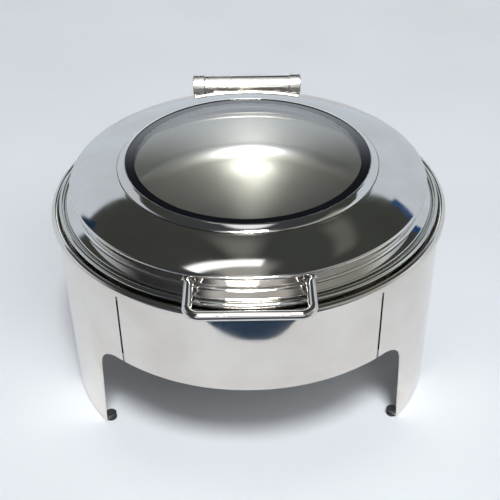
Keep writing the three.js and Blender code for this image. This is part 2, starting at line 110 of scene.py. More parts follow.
class PanSizes(PropertyGroup):
    rim_radius: length("Rim radius", "Outer radius of the water pan's rim", width_of("water_pan"))
    sheet: length("Sheet", "Thickness of the pans' sheet", 0.001)
    water_floor: length("Water pan floor", "Height of the water pan's floor", 0.143)
    food_floor: length("Food pan floor", "Height of the food pan's floor", 0.186)
    ledge: length("Ledge", "Height of the ledge that carries the food pan", 0.2377)
    groove: length("Groove", "Height of the groove inside the rim", 0.2318)
    lip: length("Lip", "Radius of the rolled lip", 0.0044)


class LidSizes(PropertyGroup):
    seat: length("Window seat", "Height of the seat under the window", 0.276)
    sheet: length("Sheet", "Thickness of the lid's sheet", 0.001)
    skirt_tilt: angle("Skirt tilt", "How far the skirt tucks in towards its lower end", 21.5)
    glass_radius: length("Glass radius", "Radius of the window glass", 0.1413)
    glass: length("Glass", "Thickness of the window glass", 0.004)
    rod: length("Handle rod", "Radius of the handle's rod", 0.005)
    handle_half_span: length("Handle half span", "Half of the distance between the handle's roots", 0.0615)
    handle_bend: length("Handle bend", "Radius of the handle's bends", 0.013)


class HingeSizes(PropertyGroup):
    axis_y: FloatProperty(name="Axis Y", description="Depth of the hinge axis", default=0.232, unit="LENGTH")
    axis_z: length("Axis height", "Height of the hinge axis", 0.259)
    tube: length("Tube radius", "Outer radius of the hinge tube", 0.0143)
    cap: length("Cap radius", "Radius of the end caps", 0.0155)
    cap_length: length("Cap length", "Length of each end cap along the axis", 0.0155)
    half_width: length("Half width", "Half of the hinge's width over its caps", width_of("hinge_end_cap_right"))


class Finishes(PropertyGroup):
    polished: colour("Polished steel", "Colour of the lid and the fittings", (0.73, 0.71, 0.68))
    # The same steel as the lid, given a tone of its own: a painted brightness that stands in for how the stand's
    # panels and the water pan are lit.
    stand: colour("Stand steel with painted brightness", "Colour of the stand's panels and the water pan", (0.76, 0.725, 0.68))
    satin: colour("Satin steel", "Colour of the food pan", (0.60, 0.60, 0.56))
    plain: colour("Plain steel", "Colour of hidden steel and screws", (0.50, 0.51, 0.52))
    rubber: colour("Rubber", "Colour of the feet and the window gasket", (0.010, 0.011, 0.013))
    glass: colour("Glass", "Tint of the window glass", (0.955, 0.96, 0.965))
    border_radius: length("Border radius", "Inner radius of the glass's black enamel border", 0.1304)
    polish_roughness: amount("Polish", "Roughness of the mirror polished sheet", 0.05)
    hinge_roughness: amount("Hinge", "Roughness of the hinge's tube and caps", 0.2)
    satin_roughness: amount("Satin", "Roughness of the food pan", 0.36)
    waviness: FloatProperty(
        name="Waviness", description="Depth of the slow waves in the sheet", default=0.0008, unit="LENGTH"
    )


class Studio(PropertyGroup):
    floor: colour("Floor", "Colour of the cloth floor", (0.80, 0.84, 0.89))
    backdrop: colour("Backdrop", "Colour of the walls round the floor", (0.66, 0.73, 0.82))
    canopy: colour("Canopy", "Colour of the dark ceiling seen in the steel", (0.053, 0.058, 0.053))
    canopy_edge: angle("Canopy edge", "Height of the ceiling's edge above the horizon", 36.8)
    sky_light: amount("Sky light", "Strength of the even light on the floor", 0.12, 5.0)
    sun_power: amount("Main light", "Strength of the wide soft lamp in front, in watts per square metre", 2.3, 20.0)
    key_power: amount("Key light", "Power of the near lamp on the right, in watts", 8.0, 500.0)
    pan_power: amount("Pan light", "Power of the lamp whose glare shows in the food pan, in watts", 60.0, 500.0)
    segments: IntProperty(name="Segments", description="Steps round every large ring", default=192, min=48)


# ---- profiles and turned sheet --------------------------------------------------------------------


def arc(r, z, radius, start, end, steps=10):
    """Points of an arc round (r, z), with angles in degrees from the +r direction."""
    points = []
    for i in range(steps + 1):
        a = math.radians(start + (end - start) * i / steps)
        points.append((r + radius * math.cos(a), z + radius * math.sin(a)))
    return points


def bend(start, corner, end, steps=10):
    """Points of a quadratic curve from start to end that leans towards corner."""
    points = []
    for i in range(steps + 1):
        t = i / steps
        a, b, c = (1 - t) ** 2, 2 * t * (1 - t), t * t
        points.append(tuple(a * start[k] + b * corner[k] + c * end[k] for k in (0, 1)))
    return points


def sheet(line, thickness):
    """The closed section of a sheet whose upper face follows line, outwards, with its thickness below."""
    points = [Vector(line[0])]
    for p in line[1:]:
        if (Vector(p) - points[-1]).length > SAME_POINT:
            points.append(Vector(p))
    normals = []
    for a, b in zip(points, points[1:]):
        along = (b - a).normalized()
        normals.append(Vector((along.y, -along.x)))
    below = []
    for i, p in enumerate(points):
        before, after = normals[max(i - 1, 0)], normals[min(i, len(normals) - 1)]
        middle = (before + after).normalized()
        below.append(p + middle * (thickness / middle.dot(before)))
    return [tuple(p) for p in below + points[::-1]]


def section_normals(profile, limit=38.0):
    """The normals at the start and the end of each side of a closed section, smooth below the limit."""
    count = len(profile)
    sides = []
    for i in range(count):
        a, b = Vector(profile[i]), Vector(profile[(i + 1) % count])
        sides.append(Vector((b.y - a.y, a.x - b.x)))
    starts, ends = [], []
    for i in range(count):
        before, side, after = sides[i - 1], sides[i], sides[(i + 1) % count]
        starts.append(blended(before, side, side, limit))
        ends.append(blended(side, after, side, limit))
    return starts, ends


def blended(first, second, own, limit):
    """The normal that two sides share below the limit, or else the side's own."""
    if own.length < NO_LENGTH:
        return Vector((0.0, 1.0))
    if min(first.length, second.length) < NO_LENGTH or first.angle(second) > math.radians(limit):
        return own.normalized()
    return (first + second).normalized()


def turn(name, profile, start=0.0, end=360.0, steps=192, place=None):
    """A mesh object turned about +Z from a closed section in millimetres, with the material on its left."""
    full = end - start >= 360.0
    columns = steps if full else steps + 1
    angles = [math.radians(FRONT + start + (end - start) * j / steps) for j in range(columns)]
    verts, index = [], []
    for r, z in profile:
        row = []
        for a in angles if r > ON_AXIS else angles[:1]:
            row.append(len(verts))
            verts.append((r * math.cos(a) * MM, r * math.sin(a) * MM, z * MM))
        index.append(row * columns if len(row) == 1 else row)
    starts, ends = section_normals(profile)
    faces, normals = [], []

    def spun(normal, a):
        return (normal.x * math.cos(a), normal.x * math.sin(a), normal.y)

    for i in range(len(profile)):
        k = (i + 1) % len(profile)
        if max(profile[i][0], profile[k][0]) <= ON_AXIS:
            continue
        for j in range(columns if full else columns - 1):
            n = (j + 1) % columns
            corners = [
                (index[i][j], starts[i], angles[j]), (index[i][n], starts[i], angles[n]),
                (index[k][n], ends[i], angles[n]), (index[k][j], ends[i], angles[j]),
            ]
            if corners[0][0] == corners[1][0]:
                corners = [corners[0], corners[2], corners[3]]
            elif corners[2][0] == corners[3][0]:
                corners = corners[:3]
            faces.append([c[0] for c in corners])
            normals.extend(spun(c[1], c[2]) for c in corners)
    if not full:
        for j, order in ((0, 1), (columns - 1, -1)):
            ring = [index[i][j] for i in range(len(profile))][::order]
            side = Vector((math.sin(angles[j]), -math.cos(angles[j]), 0.0)) * order
            faces.append(ring)
            normals.extend([tuple(side)] * len(ring))
    return solid(name, verts, faces, normals, place)


def solid(name, verts, faces, normals, place):
    """A mesh object from points in metres, with given corner normals, put in place."""
    mesh = bpy.data.meshes.new(name)
    mesh.from_pydata(verts, [], faces)
    mesh.update()
    mesh.shade_smooth()
    mesh.normals_split_custom_set(normals)
    if place is not None:
        mesh.transform(place)
    return shown(name, mesh)


def shown(name, mesh):
    """Puts a mesh in the scene as an object."""
    piece = bpy.data.objects.new(name, mesh)
    bpy.context.scene.collection.objects.link(piece)
    return piece


def from_bmesh(name, bm):
    """Puts a bmesh in the scene as an object and frees it."""
    mesh = bpy.data.meshes.new(name)
    bm.to_mesh(mesh)
    bm.free()
    return shown(name, mesh)


def creased(mesh, limit=35.0):
    """Smooth shading with every edge above the limit kept sharp."""
    mesh.shade_smooth()
    bm = bmesh.new()
    bm.from_mesh(mesh)
    for edge in bm.edges:
        edge.smooth = len(edge.link_faces) == 2 and edge.calc_face_angle(0.0) < math.radians(limit)
    bm.to_mesh(mesh)
    bm.free()


def joined(name, pieces):
    """One mesh object made of several, which are removed, with its edges kept sharp by angle."""
    bm = bmesh.new()
    for piece in pieces:
        bm.from_mesh(piece.data)
    whole = from_bmesh(name, bm)
    for piece in pieces:
        bpy.data.objects.remove(piece)
    creased(whole.data, 40.0)
    return whole


def about_x(degrees):
    """A turn about the X axis."""
    return Matrix.Rotation(math.radians(degrees), 4, "X")


def on_ring(azimuth, radius, z, tilt=0.0):
    """Puts a thing drawn round the origin, with -Y outwards, on a ring of the object, in millimetres."""
    return (
        Matrix.Rotation(math.radians(azimuth), 4, "Z")
        @ Matrix.Translation((0.0, -radius * MM, z * MM))
        @ about_x(tilt)
    )


def add_box(bm, low, high, edge, place=None):
    """Adds a box between two corners in millimetres, with its edges rounded."""
    made = bmesh.ops.create_cube(bm, size=1.0)["verts"]
    for v in made:
        v.co = Vector([(high[k] - low[k]) * v.co[k] + (high[k] + low[k]) / 2 for k in range(3)]) * MM
    edges = list(dict.fromkeys(e for v in made for e in v.link_edges))
    result = bmesh.ops.bevel(bm, geom=edges, offset=edge * MM, segments=2, profile=0.5, affect="EDGES")
    if place is not None:
        rounded = {v for f in result["faces"] for v in f.verts} | {v for v in made if v.is_valid}
        bmesh.ops.transform(bm, matrix=place, verts=list(rounded))


def boxed(name, edge, *boxes):
    """A mesh object of boxes with rounded edges, each given by two corners in millimetres."""
    bm = bmesh.new()
    for low, high in boxes:
        add_box(bm, low, high, edge)
    return from_bmesh(name, bm)


def finished(piece, body, slot, material, *nodes):
    """Gives a piece its material, its body and the parts that it stands for."""
    if material is not None:
        piece.data.materials.clear()
        piece.data.materials.append(material)
    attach(piece, body)
    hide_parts(*nodes)


# ---- nodes and finishes ---------------------------------------------------------------------------

FLANGE_START = (0.1800, 0.1825)  # from here outwards the food pan is polished, not satin


def node(tree, kind, inputs=None, **settings):
    """Adds a node; an input is given a value or another node's output."""
    made = tree.nodes.new(kind)
    for key, value in settings.items():
        setattr(made, key, value)
    for key, value in (inputs or {}).items():
        if isinstance(value, bpy.types.NodeSocket):
            tree.links.new(value, made.inputs[key])
        else:
            made.inputs[key].default_value = value
    return made


def calc(tree, operation, first, second=0.0):
    """One step of arithmetic; an operation on one number ignores the second."""
    return node(tree, "ShaderNodeMath", {0: first, 1: second}, operation=operation).outputs[0]


def split(tree, vector):
    return node(tree, "ShaderNodeSeparateXYZ", {0: vector}).outputs


def combined(tree, x=0.0, y=0.0, z=0.0):
    return node(tree, "ShaderNodeCombineXYZ", {0: x, 1: y, 2: z}).outputs[0]


def axis_distance(tree, x, y):
    """Distance from the object's vertical axis."""
    squared = calc(tree, "ADD", calc(tree, "MULTIPLY", x, x), calc(tree, "MULTIPLY", y, y))
    return calc(tree, "SQRT", squared)


def remap(tree, value, low, high, to_low=0.0, to_high=1.0, soft=False):
    """Takes the range low to high onto another range, and stays inside it."""
    return node(
        tree, "ShaderNodeMapRange",
        {"Value": value, "From Min": low, "From Max": high, "To Min": to_low, "To Max": to_high},
        interpolation_type="SMOOTHSTEP" if soft else "LINEAR",
    ).outputs["Result"]


def blend(tree, factor, first, second, kind="MIX"):
    """Mixes two colours, each three numbers or another node's output."""
    first, second = (c if isinstance(c, bpy.types.NodeSocket) else (*c, 1.0) for c in (first, second))
    mixer = node(tree, "ShaderNodeMix", {0: factor, 6: first, 7: second}, data_type="RGBA", blend_type=kind)
    return mixer.outputs[2]


def object_place(tree):
    """Where a point of a piece is, in the object's own frame."""
    return node(tree, "ShaderNodeTexCoord").outputs["Object"]


def noise(tree, where, scale, detail):
    return node(tree, "ShaderNodeTexNoise", {"Vector": where, "Scale": scale, "Detail": detail}).outputs[0]


def bump(tree, height, strength, distance, under=None):
    """A normal from a height, laid over another normal where one is given."""
    inputs = {"Strength": strength, "Distance": distance, "Height": height}
    if under is not None:
        inputs["Normal"] = under
    return node(tree, "ShaderNodeBump", inputs).outputs[0]


def principled(tree, inputs):
    return node(tree, "ShaderNodeBsdfPrincipled", inputs).outputs[0]


def new_finish(name):
    """An empty material, as (material, tree)."""
    made = bpy.data.materials.new(name)
    made.use_nodes = True
    made.node_tree.nodes.clear()
    return made, made.node_tree


def end_finish(tree, shader):
    node(tree, "ShaderNodeOutputMaterial", {"Surface": shader})


def darker(tone, share):
    return [c * share for c in tone]


def spun_coordinates(tree, across):
    """Object coordinates squeezed so that a noise turns into fine rings round the vertical axis."""
    x, y, z = split(tree, object_place(tree))
    ring = calc(tree, "ADD", axis_distance(tree, x, y), calc(tree, "MULTIPLY", z, 0.7))
    return combined(tree, calc(tree, "MULTIPLY", ring, across), x, y)


def polished_steel(name, tone, waviness, roughness):
    """Mirror polished sheet: slow waves from forming, faint rings from polishing, and thin smudges."""
    made, tree = new_finish(name)
    where = object_place(tree)
    waves = noise(tree, where, scale=11.0, detail=1.0)
    clouds = noise(tree, where, scale=13.0, detail=4.0)
    smudges = noise(tree, where, scale=38.0, detail=5.0)
    rings = noise(tree, spun_coordinates(tree, across=60.0), scale=22.0, detail=3.0)
    formed = bump(tree, waves, strength=1.0, distance=waviness)
    clouded = (tone[0] * 0.9, tone[1] * 0.88, tone[2] * 0.86)
    end_finish(tree, principled(tree, {
        "Base Color": blend(tree, remap(tree, clouds, 0.38, 0.66), tone, clouded), "Metallic": 1.0,
        "Roughness": remap(tree, smudges, 0.35, 0.75, roughness * 0.8, roughness * 1.7),
        "Normal": bump(tree, rings, strength=0.25, distance=0.000002, under=formed),
    }))
    return made


def satin_steel(finishes):
    """The food pan's spun sheet: fine rings and slight stains, with a polished flange."""
    made, tree = new_finish("Satin steel")
    where = object_place(tree)
    rings = noise(tree, spun_coordinates(tree, across=90.0), scale=30.0, detail=4.0)
    stains = noise(tree, where, scale=16.0, detail=5.0)
    x, y, _ = split(tree, where)
    flange = remap(tree, axis_distance(tree, x, y), *FLANGE_START)
    rough = finishes.satin_roughness
    worn = remap(tree, rings, 0.3, 0.7, rough * 0.92, rough * 1.1)
    tone = finishes.satin[:]
    end_finish(tree, principled(tree, {
        "Base Color": blend(tree, remap(tree, stains, 0.35, 0.7), tone, darker(tone, 0.93)),
        "Roughness": node(tree, "ShaderNodeMix", {0: flange, 2: worn, 3: finishes.polish_roughness}).outputs[0],
        "Normal": bump(tree, rings, strength=0.2, distance=0.000003),
        "Metallic": remap(tree, flange, 0.0, 1.0, 0.97, 1.0), "Anisotropic": 0.35, "Anisotropic Rotation": 0.25,
    }))
    return made


def plain_metal(name, tone, roughness, grain):
    """Unpolished metal for screws, straps and inner parts, with a fine grain."""
    made, tree = new_finish(name)
    where = object_place(tree)
    specks = noise(tree, where, scale=grain, detail=6.0)
    clouds = noise(tree, where, scale=60.0, detail=3.0)
    end_finish(tree, principled(tree, {
        "Base Color": blend(tree, clouds, tone, darker(tone, 0.8)), "Metallic": 1.0,
        "Roughness": remap(tree, specks, 0.3, 0.7, roughness * 0.8, roughness * 1.25),
        "Normal": bump(tree, specks, strength=0.3, distance=0.00002),
    }))
    return made


def moulded(name, tone, roughness, dust=0.024):
    """Moulded rubber or plastic with a fine matte texture and a little pale dust."""
    made, tree = new_finish(name)
    where = object_place(tree)
    grain = noise(tree, where, scale=1400.0, detail=4.0)
    clouds = noise(tree, where, scale=45.0, detail=5.0)
    end_finish(tree, principled(tree, {
        "Base Color": blend(tree, remap(tree, clouds, 0.5, 0.8), tone, [c + dust for c in tone]),
        "Roughness": remap(tree, grain, 0.3, 0.7, roughness * 0.85, roughness * 1.1),
        "Normal": bump(tree, grain, strength=0.4, distance=0.00006),
    }))
    return made


def window_glass(finishes):
    """Clear sheet glass, with a thin reflection on its outer faces and a black enamel border."""
    made, tree = new_finish("Window glass")
    where = object_place(tree)
    haze = noise(tree, where, scale=14.0, detail=4.0)
    tone = finishes.glass[:]
    tint = blend(tree, haze, tone, darker(tone, 0.985))
    clear = node(tree, "ShaderNodeBsdfTransparent", {"Color": tint}).outputs[0]
    shine = node(tree, "ShaderNodeBsdfGlossy", {"Color": (1.0, 1.0, 1.0, 1.0), "Roughness": 0.02}).outputs[0]
    facing = node(tree, "ShaderNodeFresnel", {"IOR": 1.8}).outputs[0]  # stands for both faces of the pane
    outside = calc(tree, "SUBTRACT", 1.0, node(tree, "ShaderNodeNewGeometry").outputs["Backfacing"])
    pane = node(tree, "ShaderNodeMixShader", {0: calc(tree, "MULTIPLY", facing, outside), 1: clear, 2: shine})
    specks = noise(tree, where, scale=900.0, detail=2.0)
    enamel = principled(tree, {
        "Base Color": blend(tree, specks, (0.003, 0.0034, 0.0045), (0.006, 0.0066, 0.008)), "Roughness": 0.06,
    })
    x, y, _ = split(tree, where)
    border = calc(tree, "GREATER_THAN", axis_distance(tree, x, y), finishes.border_radius)
    end_finish(tree, node(tree, "ShaderNodeMixShader", {0: border, 1: pane.outputs[0], 2: enamel}).outputs[0])
    return made


def finish(name):
    """One of the chafer's finishes, made the first time it is asked for."""
    made = bpy.data.materials.get(name)
    if made:
        return made
    finishes = bpy.context.scene.chafer_finishes
    waviness, polish = finishes.waviness, finishes.polish_roughness
    makers = {
        # The stand's panels and the water pan take the stand tone, a painted brightness for how they are lit, not a
        # different steel.
        "Polished sheet painted brightness": lambda: polished_steel(name, finishes.stand[:], waviness, polish),
        "Polished lid": lambda: polished_steel(name, finishes.polished[:], waviness * 0.22, polish * 1.1),
        "Polished fittings": lambda: polished_steel(name, finishes.polished[:], waviness * 0.06, polish * 1.2),
        "Hinge steel": lambda: polished_steel(name, finishes.polished[:], 0.0, finishes.hinge_roughness),
        "Satin steel": lambda: satin_steel(finishes),
        "Plain steel": lambda: plain_metal(name, finishes.plain[:], roughness=0.34, grain=900.0),
        "Spring steel": lambda: plain_metal(name, (0.16, 0.165, 0.17), roughness=0.38, grain=1200.0),
        # Near black steel for the straps behind the seams: a painted shadow, so that each seam's gap shows dark.
        "Seam strap painted shadow": lambda: plain_metal(name, (0.02, 0.02, 0.021), roughness=0.5, grain=900.0),
        "Black rubber": lambda: moulded(name, finishes.rubber[:], roughness=0.62),
        "Window seal": lambda: moulded(name, (0.004, 0.0045, 0.006), roughness=0.5, dust=0.0),
        "Bush plastic": lambda: moulded(name, (0.30, 0.23, 0.13), roughness=0.5),
        "Damper plastic": lambda: moulded(name, (0.02, 0.021, 0.023), roughness=0.45),
        "Window glass": lambda: window_glass(finishes),
    }
    return makers[name]()


# ---- geometry nodes -------------------------------------------------------------------------------

# A rubber foot's outline from the floor up, as shares of its height and of its radius.
FOOT_OUTLINE = (
    (0.0, 0.88), (0.03, 0.97), (0.08, 1.0), (0.44, 1.0), (0.5, 0.94), (0.525, 0.45), (0.6, 0.42),
    (0.72, 0.42), (0.74, 0.97), (0.9, 1.0), (1.0, 0.86),
)

# Screws by use: head radius, head height, shank radius and shank length, in millimetres.
SCREWS = {
    "bezel": (2.8, 2.0, 1.4, 4.0),
    "handle": (4.0, 2.4, 2.0, 4.2),
    "arm": (3.6, 2.2, 2.0, 3.9),
    "cap": (4.2, 2.6, 2.0, 13.0),
    "bracket": (4.0, 2.2, 1.6, 6.4),
}


def node_tree(name, sockets):
    """An empty geometry tree with named inputs, as (tree, the outputs that give them)."""
    tree = bpy.data.node_groups.new(name, "GeometryNodeTree")
    tree.interface.new_socket("Geometry", in_out="INPUT", socket_type="NodeSocketGeometry")
    for label, default in sockets.items():
        kind = "NodeSocketMaterial" if default is None else "NodeSocketFloat"
        made = tree.interface.new_socket(label, in_out="INPUT", socket_type=kind)
        if default is not None:
            made.default_value = default
    tree.interface.new_socket("Geometry", in_out="OUTPUT", socket_type="NodeSocketGeometry")
    return tree, tree.nodes.new("NodeGroupInput").outputs


def end_tree(tree, geometry, material):
    """Realizes instances, sets the material and ends the tree."""
    real = node(tree, "GeometryNodeRealizeInstances", {0: geometry}).outputs[0]
    coated = node(tree, "GeometryNodeSetMaterial", {"Geometry": real, "Material": material}).outputs[0]
    node(tree, "NodeGroupOutput", {0: coated})


def on_points(tree, points, thing):
    """A copy of thing on every point, with its +Z along the point's facing."""
    facing = node(tree, "GeometryNodeInputNamedAttribute", {"Name": "facing"}, data_type="FLOAT_VECTOR")
    turned = node(tree, "FunctionNodeAlignRotationToVector", {"Vector": facing.outputs[0]}, axis="Z")
    return node(tree, "GeometryNodeInstanceOnPoints", {
        "Points": points, "Instance": thing, "Rotation": turned.outputs[0],
    }).outputs[0]


def raised(tree, geometry, size, share):
    """Moves a geometry up by a share of a size."""
    lift = combined(tree, z=calc(tree, "MULTIPLY", size, share))
    return node(tree, "GeometryNodeTransform", {"Geometry": geometry, "Translation": lift}).outputs[0]


def together(tree, *geometries):
    whole = node(tree, "GeometryNodeJoinGeometry")
    for geometry in geometries:
        tree.links.new(geometry, whole.inputs[0])
    return whole.outputs[0]


def screw_tree():
    """Pan head screws: a domed head with a crossed recess on a plain shank."""
    tree, given = node_tree("Screws", {
        "Head Radius": 0.004, "Head Height": 0.0022, "Shank Radius": 0.0018, "Shank Length": 0.005,
        "Material": None,
    })
    head_r, head_h = given["Head Radius"], given["Head Height"]
    head = node(tree, "GeometryNodeMeshCylinder", {
        "Vertices": 32, "Side Segments": 2, "Fill Segments": 5, "Radius": head_r, "Depth": head_h,
    }).outputs[0]
    head = raised(tree, head, head_h, 0.5)
    x, y, z = split(tree, node(tree, "GeometryNodeInputPosition").outputs[0])
    share = calc(tree, "DIVIDE", axis_distance(tree, x, y), head_r)
    dome = calc(tree, "MULTIPLY", calc(tree, "MULTIPLY", share, share), calc(tree, "MULTIPLY", z, -0.55))
    head = node(tree, "GeometryNodeSetPosition", {"Geometry": head, "Offset": combined(tree, z=dome)}).outputs[0]
    long, thin = calc(tree, "MULTIPLY", head_r, 1.05), calc(tree, "MULTIPLY", head_r, 0.24)
    blades = []
    for wide, deep in ((long, thin), (thin, long)):
        blade = node(tree, "GeometryNodeMeshCube", {"Size": combined(tree, wide, deep, head_h)}).outputs[0]
        blades.append(raised(tree, blade, head_h, 0.95))
    head = node(tree, "GeometryNodeMeshBoolean", {
        "Mesh 1": head, "Mesh 2": together(tree, *blades),
    }, operation="DIFFERENCE").outputs[0]
    shank = node(tree, "GeometryNodeMeshCylinder", {
        "Vertices": 20, "Radius": given["Shank Radius"], "Depth": given["Shank Length"],
    }).outputs[0]
    whole = together(tree, head, raised(tree, shank, given["Shank Length"], -0.49))
    end_tree(tree, on_points(tree, given["Geometry"], whole), given["Material"])
    return tree


def foot_tree():
    """Rubber feet: a disc with a rounded edge, a neck and a snap-in head."""
    tree, given = node_tree("Rubber Feet", {"Radius": 0.0068, "Height": 0.008, "Material": None})
    foot = node(tree, "GeometryNodeMeshCylinder", {
        "Vertices": 40, "Side Segments": 40, "Fill Segments": 3, "Radius": 1.0, "Depth": 1.0,
    }).outputs[0]
    x, y, z = split(tree, node(tree, "GeometryNodeInputPosition").outputs[0])
    height = calc(tree, "ADD", z, 0.5)
    shape = node(tree, "ShaderNodeFloatCurve", {"Value": height})
    curve = shape.mapping.curves[0]
    curve.points[0].location, curve.points[1].location = FOOT_OUTLINE[0], FOOT_OUTLINE[-1]
    for point in FOOT_OUTLINE[1:-1]:
        curve.points.new(*point)
    for point in curve.points:
        point.handle_type = "VECTOR"
    shape.mapping.update()
    wide = calc(tree, "MULTIPLY", shape.outputs[0], given["Radius"])
    placed = combined(
        tree, calc(tree, "MULTIPLY", x, wide), calc(tree, "MULTIPLY", y, wide),
        calc(tree, "MULTIPLY", height, given["Height"]),
    )
    foot = node(tree, "GeometryNodeSetPosition", {"Geometry": foot, "Position": placed}).outputs[0]
    end_tree(tree, on_points(tree, given["Geometry"], foot), given["Material"])
    return tree


def swept(tree, line, radius, sides):
    """A round rod along a curve, with closed ends."""
    ring = node(tree, "GeometryNodeCurvePrimitiveCircle", {"Resolution": sides, "Radius": radius}).outputs[0]
    return node(tree, "GeometryNodeCurveToMesh", {
        "Curve": line, "Profile Curve": ring, "Fill Caps": True,
    }).outputs[0]


def rod_tree():
    """A bent rod along the given line of points, with its corners rounded."""
    tree, given = node_tree("Bent Rod", {"Rod Radius": 0.005, "Bend Radius": 0.013, "Material": None})
    line = node(tree, "GeometryNodeMeshToCurve", {0: given["Geometry"]}).outputs[0]
    line = node(tree, "GeometryNodeFilletCurve", {
        "Curve": line, "Radius": given["Bend Radius"], "Count": 18,
    }, mode="POLY").outputs[0]
    line = node(tree, "GeometryNodeResampleCurve", {"Curve": line, "Length": 0.0015}, mode="LENGTH").outputs[0]
    end_tree(tree, swept(tree, line, given["Rod Radius"], sides=40), given["Material"])
    return tree


def spring_tree():
    """A torsion spring wound round the X axis."""
    tree, given = node_tree("Torsion Spring", {
        "Coil Radius": 0.0076, "Wire Radius": 0.0011, "Turns": 8.0, "Length": 0.05, "Material": None,
    })
    coil = node(tree, "GeometryNodeCurveSpiral", {
        "Resolution": 40, "Rotations": given["Turns"], "Start Radius": given["Coil Radius"],
        "End Radius": given["Coil Radius"], "Height": given["Length"],
    }).outputs[0]
    coil = node(tree, "GeometryNodeTransform", {
        "Geometry": coil, "Rotation": (0.0, math.radians(90.0), 0.0),
    }).outputs[0]
    wire = swept(tree, coil, given["Wire Radius"], sides=12)
    end_tree(tree, on_points(tree, given["Geometry"], wire), given["Material"])
    return tree


def grown(name, base, tree, values):
    """Runs a tree on a base mesh and keeps the result as a plain mesh object."""
    seed = shown(name + "_seed", base)
    made = seed.modifiers.new("Make", "NODES")
    made.node_group = tree
    identifiers = {s.name: s.identifier for s in tree.interface.items_tree if s.in_out == "INPUT"}
    for label, value in values.items():
        made[identifiers[label]] = value
    graph = bpy.context.evaluated_depsgraph_get()
    mesh = bpy.data.meshes.new_from_object(seed.evaluated_get(graph))
    if not mesh.polygons:
        raise RuntimeError(f"{name} came out empty")
    bpy.data.objects.remove(seed)
    mesh.name = name
    creased(mesh)
    return shown(name, mesh)


def marks(places):
    """Points with a facing, for things set on them: each place is a matrix and its +Z is the facing."""
    mesh = bpy.data.meshes.new("marks")
    mesh.from_pydata([tuple(p.translation) for p in places], [], [])
    facing = mesh.attributes.new("facing", "FLOAT_VECTOR", "POINT")
    for i, place in enumerate(places):
        facing.data[i].vector = place.to_3x3() @ Vector((0.0, 0.0, 1.0))
    return mesh


def screws(use, body, places, *nodes):
    """One mesh of equal screws, which stands for the given parts."""
    tree = bpy.data.node_groups.get("Screws") or screw_tree()
    labels = ("Head Radius", "Head Height", "Shank Radius", "Shank Length")
    values = {label: value * MM for label, value in zip(labels, SCREWS[use])}
    values["Material"] = finish("Plain steel")
    made = grown(f"{use}_screws", marks(places), tree, values)
    finished(made, body, "plain_steel", None, *nodes)


# ---- stand ----------------------------------------------------------------------------------------

FOOT_INSET = 0.9  # degrees from a leg's lower corner to the middle of its foot
FOOT_HEIGHT = 0.008
FASCIA_COLUMNS, LEG_COLUMNS = 48, 40
FOOT_TAB = ((-4.4, -224.9, 4.6), (4.4, -212.0, 5.6))  # drawn at the front, in millimetres


def foot_azimuths(leg, sizes):
    """Where a leg's two feet stand, round the stand."""
    offset = math.degrees(sizes.leg_half) - FOOT_INSET
    return leg - offset, leg + offset


def rolled_panel(middle, rows, sizes, columns):
    """A panel of rolled sheet. Each row is (height, half width, overhang of the band under it on each side)."""
    radii = {True: sizes.radius / MM, False: (sizes.radius - sizes.sheet) / MM}
    bm = bmesh.new()
    grid = {}

    def corner(outside, along, z):
        a = math.radians(FRONT + middle) + along / radii[True]
        key = (outside, round(along, 3), round(z, 3))
        if key not in grid:
            grid[key] = bm.verts.new(Vector((radii[outside] * math.cos(a), radii[outside] * math.sin(a), z)) * MM)
        return grid[key]

    def stations(half, overhang):
        inside = [half * (2 * i / columns - 1) for i in range(columns + 1)]
        return [-half - overhang, *inside, half + overhang] if overhang else inside

    for (low, low_half, _), (high, high_half, overhang) in zip(rows, rows[1:]):
        lower, upper = stations(low_half, overhang), stations(high_half, overhang)
        for i in range(len(lower) - 1):
            for outside, order in ((True, 1), (False, -1)):
                ring = [
                    corner(outside, lower[i], low), corner(outside, lower[i + 1], low),
                    corner(outside, upper[i + 1], high), corner(outside, upper[i], high),
                ]
                bm.faces.new(ring[::order])
    keys = {v: key for key, v in grid.items() if key[0]}
    for edge in [e for e in bm.edges if len(e.link_faces) == 1 and all(v in keys for v in e.verts)]:
        loop = edge.link_loops[0]
        a, b = loop.vert, loop.link_loop_next.vert
        bm.faces.new((b, a, grid[(False, *keys[a][1:])], grid[(False, *keys[b][1:])]))
    bm.normal_update()
    rims = [e for e in bm.edges if e.calc_face_angle(0.0) > math.radians(60.0)]
    bmesh.ops.bevel(bm, geom=rims, offset=0.28 * MM, segments=2, profile=0.5, affect="EDGES")
    return bm


def rolled_piece(name, bm):
    """Ends a rolled panel: its two faces take the exact normals of the roll."""
    bm.normal_update()
    piece = from_bmesh(name, bm)
    mesh = piece.data
    mesh.shade_smooth()

    def outwards(point):
        return Vector((point.x, point.y, 0.0)).normalized()

    on_roll = set()
    for face in mesh.polygons:
        if abs(face.normal.dot(outwards(face.center))) > 0.995:
            on_roll.update(face.vertices)
    normals = []
    for face in mesh.polygons:
        for k in face.vertices:
            out = outwards(mesh.vertices[k].co)
            along = face.normal.dot(out)
            if k in on_roll and abs(along) > 0.3:
                normals.append(out * (1.0 if along > 0 else -1.0))
            else:
                normals.append(face.normal.copy())
    mesh.normals_split_custom_set(normals)
    return piece


